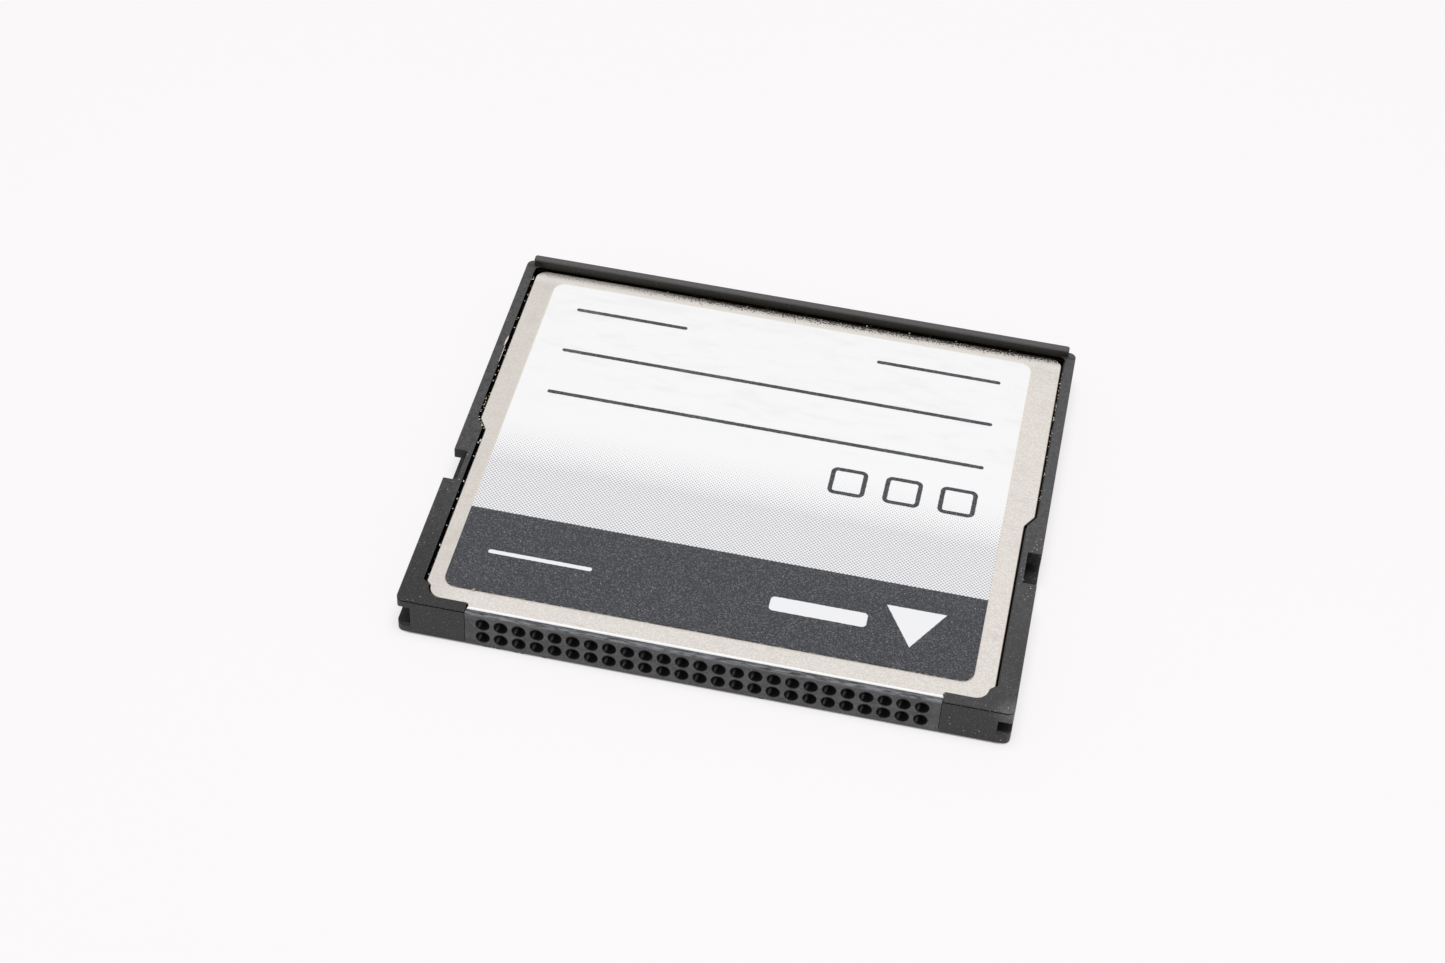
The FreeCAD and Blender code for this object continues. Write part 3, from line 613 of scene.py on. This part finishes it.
def printed_label_film():
    """White polyester label film, printed in black and a grey dot screen, under a satin varnish.

    It gives a clean white field with a soft sheen, a dark band with the open grain of the ink, a dot
    screen that thins out towards the white, plain rules and tick boxes, a cream edge that is nicked
    where the ink runs over it, and a few handling smudges. The dots are 0.2 mm apart.
    """
    grain_size = 0.09
    waver_size = 0.3
    waver_reach = 0.06
    screen_scale = (1 / TONE_PITCH, 1 / TONE_PITCH, 1.0)
    largest_dot = 0.37
    smear_size = 1.4
    smear_turn = 0.5
    smear_stretch = (0.5, 1.6, 1.0)
    nick_size = 0.35
    pinhole_gap, pinhole_size = 0.45, 0.06
    material, tree, shader, place = new_surface("printed_label_film", 0.42)
    grain = add(tree, "ShaderNodeTexNoise", {
        "Vector": place, "Scale": 1 / grain_size, "Detail": 3.0, "Roughness": 0.6})
    waver = add(tree, "ShaderNodeTexNoise", {
        "Vector": place, "Scale": 1 / waver_size, "Detail": 2.0}, output="Color")
    waver = add(tree, "ShaderNodeVectorMath", {0: waver, 1: (0.5, 0.5, 0.5)}, operation="SUBTRACT")
    flat = add(tree, "ShaderNodeVectorMath", {
        0: waver, 1: (waver_reach, waver_reach, 0.0), 2: place}, operation="MULTIPLY_ADD")
    flat = flattened(tree, flat)
    along = add(tree, "ShaderNodeSeparateXYZ", {0: flat}, output="Y")

    screen = add(tree, "ShaderNodeMapping", {
        "Vector": flat, "Rotation": (0.0, 0.0, math.radians(45)), "Scale": screen_scale})
    dots = add(tree, "ShaderNodeTexVoronoi", {
        "Vector": screen, "Scale": 1.0, "Randomness": 0.0}, output="Distance")
    fade = add(tree, "ShaderNodeMapRange", {
        "Value": along, "From Min": TONE_EDGE + TONE_FADE, "From Max": TONE_EDGE, "To Max": largest_dot})
    inside = add(tree, "ShaderNodeMath", {0: fade, 1: dots}, operation="SUBTRACT")
    colour = laid_over(tree, linear("#F7F7F8"), "#B4B4B9", inside, -0.06, 0.04, 1.0)

    ink = laid_over(tree, linear("#27282D"), "#737479", grain, 0.46, 0.74)
    colour = laid_over(tree, colour, ink, dark_print(tree, flat), INK_BLUR, -INK_BLUR)
    colour = laid_over(tree, colour, ink, along, BAND_EDGE + INK_BLUR, BAND_EDGE - INK_BLUR)
    colour = laid_over(tree, colour, "#F0F0F2", white_print(tree, flat), INK_BLUR, -INK_BLUR)

    smudge = add(tree, "ShaderNodeMapping", {
        "Vector": place, "Rotation": (0.0, 0.0, smear_turn), "Scale": smear_stretch})
    smear = add(tree, "ShaderNodeTexNoise", {"Vector": smudge, "Scale": 1 / smear_size, "Detail": 6.0})
    handled = add(tree, "ShaderNodeMapRange", {"Value": along, "From Min": 2.0, "From Max": 6.0})
    colour = laid_over(tree, colour, "#B9B6BC", smear, 0.45, 0.75, 0.10, within=(handled,))
    in_band = add(tree, "ShaderNodeMapRange", {
        "Value": along, "From Min": BAND_EDGE + 0.1, "From Max": BAND_EDGE})
    pinholes = specks(tree, place, pinhole_gap, pinhole_size, 0.2)
    colour = laid_over(tree, colour, "#C4C4C8", pinholes, 0.3, 1.0, 0.6, within=(in_band,))

    side = add(tree, "ShaderNodeMapRange", {"Value": upwards(tree), "From Min": 0.7, "From Max": 0.3})
    above_band = add(tree, "ShaderNodeMath", {0: 1.0, 1: in_band}, operation="SUBTRACT")
    colour = laid_over(tree, colour, "#F1E9D6", side, 0.0, 1.0, 1.0, within=(above_band,))
    nicks = add(tree, "ShaderNodeTexNoise", {"Vector": place, "Scale": 1 / nick_size, "Detail": 5.0})
    colour = laid_over(tree, colour, "#B9B6AE", nicks, 0.52, 0.62, 0.8, within=(side, in_band))
    gloss = add(tree, "ShaderNodeMapRange", {
        "Value": grain, "From Min": 0.3, "From Max": 0.7, "To Min": 0.38, "To Max": 0.48})
    finish_surface(tree, shader, colour, grain, 0.003, None, gloss)
    return material


def plain_label_film():
    """White polyester label film with no print but a dark band, under a satin varnish.

    It gives a quiet pale face with a soft sheen and a slight waviness from its adhesive.
    """
    wave_size = 4.0
    grain_size = 0.11
    material, tree, shader, place = new_surface("plain_label_film", 0.42)
    along = add(tree, "ShaderNodeSeparateXYZ", {0: place}, output="Y")
    tone = add(tree, "ShaderNodeTexNoise", {"Vector": place, "Scale": 1 / wave_size, "Detail": 3.0})
    grain = add(tree, "ShaderNodeTexNoise", {
        "Vector": place, "Scale": 1 / grain_size, "Detail": 3.0, "Roughness": 0.6})
    field = laid_over(tree, linear("#F0F0F1"), "#F6F6F7", tone, 0.35, 0.65)
    ink = laid_over(tree, linear("#2A2B30"), "#5C5D63", grain, 0.44, 0.80)
    colour = laid_over(tree, field, ink, along, BAND_EDGE + INK_BLUR, BAND_EDGE - INK_BLUR)
    finish_surface(tree, shader, colour, tone, 0.02)
    return material


def adhesive_film():
    """Acrylic bonding film, coated and die cut.

    It gives a milky amber with faint bubbles where it shows between the steel and the frame.
    """
    bubble_gap = 0.6
    cloud_size = 1.5
    material, tree, shader, place = new_surface("adhesive_film", 0.3, ior=1.47)
    bubbles = add(tree, "ShaderNodeTexVoronoi", {
        "Vector": place, "Scale": 1 / bubble_gap}, output="Distance")
    cloud = add(tree, "ShaderNodeTexNoise", {"Vector": place, "Scale": 1 / cloud_size, "Detail": 3.0})
    base = laid_over(tree, linear("#8F8468"), "#B5A98A", cloud, 0.3, 0.7)
    base = laid_over(tree, base, "#D8D0BA", bubbles, 0.16, 0.08)
    finish_surface(tree, shader, base)
    return material


def gold_flashed_contact():
    """Phosphor bronze strip, stamped, nickel plated and gold flashed.

    It gives a bright warm metal at the mating tips and a duller one towards the solder tails.
    """
    line_width = 0.15
    plating_end = HOUSING_LOW.y + 4.2
    material, tree, shader, place = new_surface("gold_flashed_contact", 0.28, metallic=1.0)
    along = add(tree, "ShaderNodeSeparateXYZ", {0: place}, output="Y")
    lines = add(tree, "ShaderNodeTexNoise", {"Vector": place, "Scale": 1 / line_width, "Detail": 3.0})
    tin = laid_over(tree, linear("#B9B6AE"), "#D2CFC8", lines, 0.3, 0.7)
    gold = laid_over(tree, linear("#C79A4B"), "#E3BC6C", lines, 0.3, 0.7)
    base = laid_over(tree, tin, gold, along, plating_end + 0.4, plating_end - 0.4)
    gloss = add(tree, "ShaderNodeMapRange", {"Value": lines, "To Min": 0.22, "To Max": 0.4})
    finish_surface(tree, shader, base, gloss=gloss)
    return material


def solder_masked_board():
    """FR-4 glass epoxy board with green solder mask over copper.

    It gives a glossy green with paler tracks under the mask and a raw straw-coloured edge.
    """
    track_pitch = 0.55
    weave_size = 0.8
    material, tree, shader, place = new_surface("solder_masked_board", 0.32)
    black = linear("#000000")
    bricks = {
        "Vector": place, "Scale": 1.0, "Color1": black, "Color2": black, "Mortar": linear("#FFFFFF"),
        "Mortar Size": 0.06, "Brick Width": 6 * track_pitch, "Row Height": track_pitch,
    }
    tracks = add(tree, "ShaderNodeTexBrick", bricks, output="Color")
    weave = add(tree, "ShaderNodeTexWave", {
        "Vector": place, "Scale": 1 / weave_size, "Distortion": 1.5}, output=1)
    level = add(tree, "ShaderNodeMath", {0: upwards(tree)}, operation="ABSOLUTE")
    base = laid_over(tree, linear("#0F4A2C"), "#13543A", weave, 0.0, 1.0)
    base = laid_over(tree, base, "#2F7D4C", tracks, 0.0, 1.0, 0.6)
    base = laid_over(tree, base, "#B7A56C", level, 0.7, 0.3)
    finish_surface(tree, shader, base, tracks, 0.02)
    return material


def transfer_moulded_epoxy():
    """Silica-filled epoxy, transfer moulded round a chip.

    It gives a matt charcoal with a fine sandy grain from the mould.
    """
    grain_size = 0.06
    flow_size = 3.0
    material, tree, shader, place = new_surface("transfer_moulded_epoxy", 0.62)
    grain = add(tree, "ShaderNodeTexNoise", {"Vector": place, "Scale": 1 / grain_size, "Detail": 2.0})
    flow = add(tree, "ShaderNodeTexNoise", {"Vector": place, "Scale": 1 / flow_size, "Detail": 3.0})
    base = laid_over(tree, linear("#202123"), "#2B2C2E", flow, 0.3, 0.7)
    base = laid_over(tree, base, "#414244", grain, 0.5, 0.8)
    finish_surface(tree, shader, base, grain, 0.01)
    return material


def tinned_lead():
    """Copper alloy lead frame, stamped, formed and dipped in matt tin.

    It gives a soft grey metal, frosted where the tin crystals meet.
    """
    crystal_size = 0.07
    material, tree, shader, place = new_surface("tinned_lead", 0.38, metallic=1.0)
    frost = add(tree, "ShaderNodeTexVoronoi", {"Vector": place, "Scale": 1 / crystal_size}, output="Color")
    draw = add(tree, "ShaderNodeSeparateColor", {0: frost})
    base = laid_over(tree, linear("#B4B3B0"), "#D3D2CF", draw, 0.0, 1.0)
    gloss = add(tree, "ShaderNodeMapRange", {"Value": draw, "To Min": 0.3, "To Max": 0.48})
    finish_surface(tree, shader, base, gloss=gloss)
    return material


def fired_part(name, dark, light, roughness, low, high, terminal):
    """A small board part fired or coated in one colour, with tinned ends along Y."""
    grain_size = 0.08
    material, tree, shader, place = new_surface(name, roughness)
    grain = add(tree, "ShaderNodeTexNoise", {"Vector": place, "Scale": 1 / grain_size, "Detail": 3.0})
    y = add(tree, "ShaderNodeSeparateXYZ", {0: place}, output="Y")
    from_middle = away_from(tree, y, (low + high) / 2)
    body_half = (high - low) / 2 - terminal
    ends = add(tree, "ShaderNodeMath", {0: from_middle, 1: body_half}, operation="GREATER_THAN")
    body = laid_over(tree, linear(dark), light, grain, 0.3, 0.7)
    base = laid_over(tree, body, "#C9C8C5", ends, 0.0, 1.0)
    tree.links.new(ends, shader.inputs["Metallic"])
    finish_surface(tree, shader, base, grain, 0.008)
    return material


def fired_ceramic():
    """Barium titanate ceramic, fired: a matt tan body with tinned ends."""
    return fired_part("fired_ceramic", "#8C7258", "#A58A6C", 0.55, CHIPS_LOW.y, CHIPS_HIGH.y, terminal=0.3)


def glazed_resistor():
    """Alumina chip under a black glaze, with tinned ends."""
    return fired_part("glazed_resistor", "#141416", "#26262A", 0.3, CHIPS_LOW.y, CHIPS_HIGH.y, terminal=0.28)


def moulded_tantalum():
    """Tantalum capacitor, moulded in ochre epoxy, with tinned ends."""
    return fired_part("moulded_tantalum", "#B07F22", "#C8953A", 0.5, BULK_LOW.y, BULK_HIGH.y, terminal=0.45)


def dust(name, dark, light):
    """Household dust: crumbs of skin, paper and grit, matt and uneven in colour."""
    patch_size = 0.2
    material, tree, shader, place = new_surface(name, 0.85)
    tone = add(tree, "ShaderNodeTexNoise", {"Vector": place, "Scale": 1 / patch_size, "Detail": 3.0})
    finish_surface(tree, shader, laid_over(tree, linear(dark), light, tone, 0.35, 0.65))
    return material


def seen_directly(tree):
    """1 where a surface is seen itself, reflected or through glass, and 0 for its light on others."""
    seen = add(tree, "ShaderNodeLightPath", output="Is Camera Ray")
    for kind in ("Is Glossy Ray", "Is Transmission Ray"):
        ray = add(tree, "ShaderNodeLightPath", output=kind)
        seen = add(tree, "ShaderNodeMath", {0: seen, 1: ray}, operation="MAXIMUM")
    return seen


def pale_table():
    """White laminate table top, matt and lit from beneath, so that the card's shadow stays faint."""
    mottle_size = 60.0
    card_corner = 1.0
    shade_full, shade_end = -0.15, 0.1
    material, tree, shader, place = new_surface("pale_table", 0.9)
    tone = add(tree, "ShaderNodeTexNoise", {"Vector": place, "Scale": 1 / mottle_size, "Detail": 2.0})
    laminate = laid_over(tree, linear("#F9F7F8"), "#FAF8F9", tone, 0.3, 0.7)
    outside = bar_distance(tree, flattened(tree, place), FRAME_LOW, FRAME_HIGH, card_corner)
    outside = add(tree, "ShaderNodeMapRange", {
        "Value": outside, "From Min": shade_full, "From Max": shade_end})
    glow = add(tree, "ShaderNodeMath", {0: seen_directly(tree), 1: TABLE_GLOW}, operation="MULTIPLY")
    glow = add(tree, "ShaderNodeMath", {0: glow, 1: outside}, operation="MULTIPLY")
    dimmed = add(tree, "ShaderNodeMix", {
        0: glow, 6: laminate, 7: linear("#000000")}, output=2, data_type="RGBA")
    finish_surface(tree, shader, dimmed)
    shader.inputs["Emission Color"].default_value = linear("#FCFAFA")
    tree.links.new(glow, shader.inputs["Emission Strength"])
    shader.inputs["Specular IOR Level"].default_value = 0.1
    return material


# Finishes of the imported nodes
FINISHES = {
    moulded_frame_plastic: ("card_frame",),
    moulded_connector_plastic: ("connector_housing",),
    satin_steel_sheet: ("back_cover", "front_cover"),
    printed_label_film: ("back_label",),
    plain_label_film: ("front_label",),
    adhesive_film: ("back_bonding_film", "front_bonding_film"),
    gold_flashed_contact: ("upper_row_contacts", "lower_row_contacts"),
    solder_masked_board: ("circuit_board",),
    transfer_moulded_epoxy: (
        "controller_body", "upper_memory_body", "lower_memory_body", "voltage_regulator_body"),
    tinned_lead: (
        "controller_leads", "upper_memory_leads", "lower_memory_leads", "voltage_regulator_leads"),
    fired_ceramic: ("ceramic_capacitors",),
    glazed_resistor: ("chip_resistors",),
    moulded_tantalum: ("bulk_capacitor",),
}


def finish_nodes():
    """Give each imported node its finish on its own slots."""
    for make, names in FINISHES.items():
        material = make()
        for name in names:
            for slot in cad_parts[name].material_slots:
                slot.material = material


def crumb(seed):
    """One crumb of dust, 1 mm across before it is scaled: a lumpy ball pressed flat."""
    lump = 0.12
    pressed = (1.0, 0.75, 0.6)
    bpy.ops.object.select_all(action="DESELECT")
    bpy.ops.mesh.primitive_ico_sphere_add(subdivisions=2, radius=0.5 * MM)
    shape = bpy.context.object
    bpy.ops.object.mode_set(mode="EDIT")
    bpy.ops.mesh.select_all(action="SELECT")
    bpy.ops.transform.vertex_random(offset=lump * MM, seed=seed)
    bpy.ops.transform.resize(value=pressed)
    bpy.ops.object.mode_set(mode="OBJECT")
    return shape


def fibre(turn):
    """One short fibre, 1 mm long before it is scaled: a thread spun along an arc."""
    thread_radius = 0.03
    thread_sides, thread_steps = 5, 7
    bend = MM / turn
    bpy.ops.object.select_all(action="DESELECT")
    bpy.ops.mesh.primitive_circle_add(
        vertices=thread_sides, radius=thread_radius * MM, rotation=(math.pi / 2, 0, 0))
    shape = bpy.context.object
    bpy.ops.object.transform_apply()
    bpy.ops.object.mode_set(mode="EDIT")
    bpy.ops.mesh.select_all(action="SELECT")
    bpy.ops.mesh.edge_face_add()
    bpy.ops.mesh.spin(steps=thread_steps, angle=turn, center=(bend, 0, 0), axis=(0, 0, 1))
    bpy.ops.mesh.select_all(action="SELECT")
    bpy.ops.mesh.remove_doubles(threshold=0.0001 * MM)
    bpy.ops.mesh.normals_make_consistent(inside=False)
    bpy.ops.object.mode_set(mode="OBJECT")
    return shape


def scattered(name, models, places, material):
    """Copies of the models at (place, size, turn, stretch), joined as one piece that rides on the card."""
    copies = []
    for index, (place, size, turn, stretch) in enumerate(places):
        copy = models[index % len(models)].copy()
        copy.data = copy.data.copy()
        bpy.context.scene.collection.objects.link(copy)
        scale = Vector((size * stretch, size, size))
        copy.matrix_world = Matrix.LocRotScale(Vector(place) * MM, Euler((0, 0, turn)), scale)
        copies.append(copy)
    bpy.context.view_layer.update()
    bpy.ops.object.select_all(action="DESELECT")
    for copy in copies:
        copy.select_set(True)
    bpy.context.view_layer.objects.active = copies[0]
    bpy.ops.object.join()
    piece = bpy.context.object
    bpy.ops.object.transform_apply(location=True, rotation=True, scale=True)
    piece.name = name
    piece.data.materials.clear()
    piece.data.materials.append(material)
    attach(piece, "root")
    return piece


def drawn_scrap(draw, place, sizes, stretches):
    """A place with a size, a turn and a stretch drawn for what lies there."""
    return place, draw.uniform(*sizes), draw.uniform(0, math.pi), draw.uniform(*stretches)


def gap_grains(draw):
    """Places of the golden grains packed into the gaps beside the panel, thickest behind its step.

    Each stretch of the left gap is (start, end, how many), and the last grains lie along the jog.
    """
    right_grains, jog_grains = 44, 9
    places = []
    for start, end, count in ((JOG_END, 3.2, 13), (3.2, 8.2, 7), (9.6, 16.4, 9)):
        for _ in range(count):
            x = WIDE_GAP + draw.uniform(-0.08, 0.08)
            place = (x, draw.uniform(start, end), PANEL_HIGH.z - draw.uniform(0.0, 0.10))
            places.append(drawn_scrap(draw, place, (0.06, 0.12), (1.0, 1.5)))
    for _ in range(right_grains):
        x = RIGHT_GAP + draw.uniform(-0.05, 0.07)
        place = (x, draw.uniform(2.0, 16.0), PANEL_HIGH.z - 0.01)
        places.append(drawn_scrap(draw, place, (0.05, 0.09), (1.0, 1.6)))
    for _ in range(jog_grains):
        share = draw.random()
        x = NARROW_GAP + share * (WIDE_GAP - NARROW_GAP) + draw.uniform(-0.06, 0.06)
        place = (x, JOG_START + share * (JOG_END - JOG_START), PANEL_HIGH.z - 0.03)
        places.append(drawn_scrap(draw, place, (0.07, 0.14), (1.0, 1.4)))
    return places


def gap_flakes(draw):
    """Places of the white flakes along the parting line, beside the connector and in the left gap."""
    seam_flakes = 6
    places = []
    for side in (-1, 1):
        for _ in range(seam_flakes):
            place = (side * draw.uniform(17.7, 20.6), FRAME_LOW.y + 0.04, PARTING_HEIGHT - 0.06)
            places.append((place, draw.uniform(0.04, 0.07), 0.0, draw.uniform(1.0, 2.2)))
    for height in (0.35, 0.52, 0.8):
        places.append(((HOUSING_HIGH.x - 0.05, FRAME_LOW.y + 0.05, height), 0.06, 0.3, 1.4))
    for start, end, count in ((-3.4, -1.2, 3), (-9.2, -3.4, 5), (-16.5, -9.2, 3)):
        for _ in range(count):
            x = NARROW_GAP + draw.uniform(-0.09, 0.09)
            place = (x, draw.uniform(start, end), PANEL_HIGH.z - draw.uniform(0.0, 0.06))
            places.append(drawn_scrap(draw, place, (0.05, 0.12), (1.0, 1.8)))
    return places


def lip_crumbs(draw):
    """Places of the crumbs along the foot of the lip, and a few on the rails and blocks."""
    places = []
    for x in (-13.35, -10.18, -7.3, -3.9, 0.2, 1.9, 5.4, 8.7, 12.3, 16.4):
        place = (x, PANEL_HIGH.y + draw.uniform(-0.2, 0.05), PANEL_HIGH.z + 0.02)
        places.append((place, draw.uniform(0.06, 0.12), draw.uniform(0, math.pi), 1.2))
    for x, y in RAIL_CRUMBS:
        places.append(((x, y, RAIL_TOP + 0.01), draw.uniform(0.05, 0.08), draw.uniform(0, math.pi), 1.5))
    return places


def lip_fibres(draw):
    """Places of the lint along the foot of the lip."""
    strands = 110
    places = []
    for _ in range(strands):
        x = draw.uniform(-12.0, 19.4)
        place = (x, PANEL_HIGH.y - abs(draw.gauss(0.0, 0.3)), PANEL_HIGH.z + 0.01)
        places.append((place, draw.uniform(0.15, 0.45), draw.uniform(0, math.tau), 1.0))
    return places


def flash_lumps(draw):
    """Places of the lumps of moulding flash under the connector's lower front edge."""
    places = []
    for start, end, count in ((-15.2, -14.0, 6), (-13.1, -12.4, 5), (-11.2, -10.8, 2), (4.2, 4.6, 2)):
        for _ in range(count):
            place = (draw.uniform(start, end), HOUSING_LOW.y + 0.06, 0.045)
            places.append((place, draw.uniform(0.09, 0.12), 0.0, draw.uniform(1.6, 3.0)))
    return places


def settle_dust():
    """The dust that lies on the card and the flash that the mould left, each kind as one piece.

    A single scrap is written as scattered takes it: (place, size, turn, stretch).
    """
    dust_seed = 11
    draw = random.Random(dust_seed)
    crumbs = [crumb(seed) for seed in (1, 2, 3)]
    fibres = [fibre(turn) for turn in (0.6, 1.2, 2.0)]
    cream = dust("cream_dust", "#B3A67F", "#EFE7D2")
    white = dust("pale_dust", "#D9D4C8", "#F7F4EC")
    scattered("dust_in_left_gap", crumbs, gap_grains(draw), cream)
    scattered("flakes_in_left_gap", crumbs, gap_flakes(draw), white)
    scattered("dust_along_lip", crumbs, lip_crumbs(draw), dust("grey_dust", "#B9B2A2", "#E3DED2"))
    scattered("lint_along_lip", fibres, lip_fibres(draw), dust("dark_lint", "#2A2520", "#4A4238"))
    scattered("moulding_flash", crumbs, flash_lumps(draw), dust("flash_plastic", "#232324", "#39393B"))
    rail_edge = PANEL_LOW.x - GAP_WIDTH
    pink = [((rail_edge - 0.05, 8.8, RAIL_TOP), 0.17, 1.5, 6.6)]
    scattered("pink_sliver", crumbs[:1], pink, dust("pink_flake", "#EBCFC8", "#F4DFDA"))
    tail_start, tail_step, tail_flakes = 8.1, 0.22, 8
    tail = [
        ((rail_edge - 0.01, tail_start - tail_step * step, RAIL_TOP - 0.01), 0.07, 1.55, 3.6)
        for step in range(tail_flakes)]
    scattered("sliver_tail", crumbs[1:], tail, white)
    orange = [((LABEL_LOW.x + 2.25, LABEL_LOW.y - 0.02, LABEL_HIGH.z - 0.02), 0.16, 0.4, 1.2)]
    scattered("orange_speck", crumbs[1:2], orange, dust("orange_flake", "#DDA577", "#EBC09B"))
    for shape in crumbs + fibres:
        bpy.data.objects.remove(shape)


def table():
    """The pale table top that the card lies on."""
    bpy.ops.object.select_all(action="DESELECT")
    bpy.ops.mesh.primitive_plane_add(size=FLOOR_SIZE * MM)
    top = bpy.context.object
    top.name = "table_top"
    top.data.materials.append(pale_table())


def softbox():
    """One wide softbox overhead and a little before the card.

    It has no mirror image, which would wash out the view from above.
    """
    light = bpy.data.lights.new("softbox", "AREA")
    light.shape = "SQUARE"
    light.size = SOFTBOX_SIZE * MM
    light.energy = SOFTBOX_WATTS
    lamp = bpy.data.objects.new("softbox", light)
    lamp.location = SOFTBOX_PLACE * MM
    lamp.rotation_mode = "QUATERNION"
    lamp.rotation_quaternion = (-SOFTBOX_PLACE).to_track_quat("-Z", "Y")
    lamp.visible_glossy = False
    bpy.context.scene.collection.objects.link(lamp)


def sky():
    """Even white surroundings: a soft fill, and white where they are seen or reflected."""
    world = bpy.data.worlds.new("studio")
    world.use_nodes = True
    bpy.context.scene.world = world
    tree = world.node_tree
    level = add(tree, "ShaderNodeMapRange", {
        "Value": seen_directly(tree), "To Min": SKY_LEVEL, "To Max": 1.0})
    background = tree.nodes["Background"]
    tree.links.new(level, background.inputs["Strength"])
    background.inputs["Color"].default_value = linear("#FFFFFF")


def camera():
    """The photograph's viewpoint."""
    lens = bpy.data.cameras.new("camera")
    lens.sensor_width = SENSOR_WIDTH
    lens.lens = FOCAL_PIXELS / PHOTO_WIDTH * SENSOR_WIDTH
    lens.clip_start = CLIP_START
    view = bpy.data.objects.new("camera", lens)
    view.location = CAMERA_PLACE * MM
    level = (CAMERA_AIM - CAMERA_PLACE).to_track_quat("-Z", "Y")
    view.rotation_mode = "QUATERNION"
    view.rotation_quaternion = level @ Quaternion((0, 0, 1), math.radians(CAMERA_ROLL))
    bpy.context.scene.collection.objects.link(view)
    bpy.context.scene.camera = view


bpy.context.scene.view_settings.view_transform = "Standard"
camera()
finish_nodes()
settle_dust()
table()
softbox()
sky()
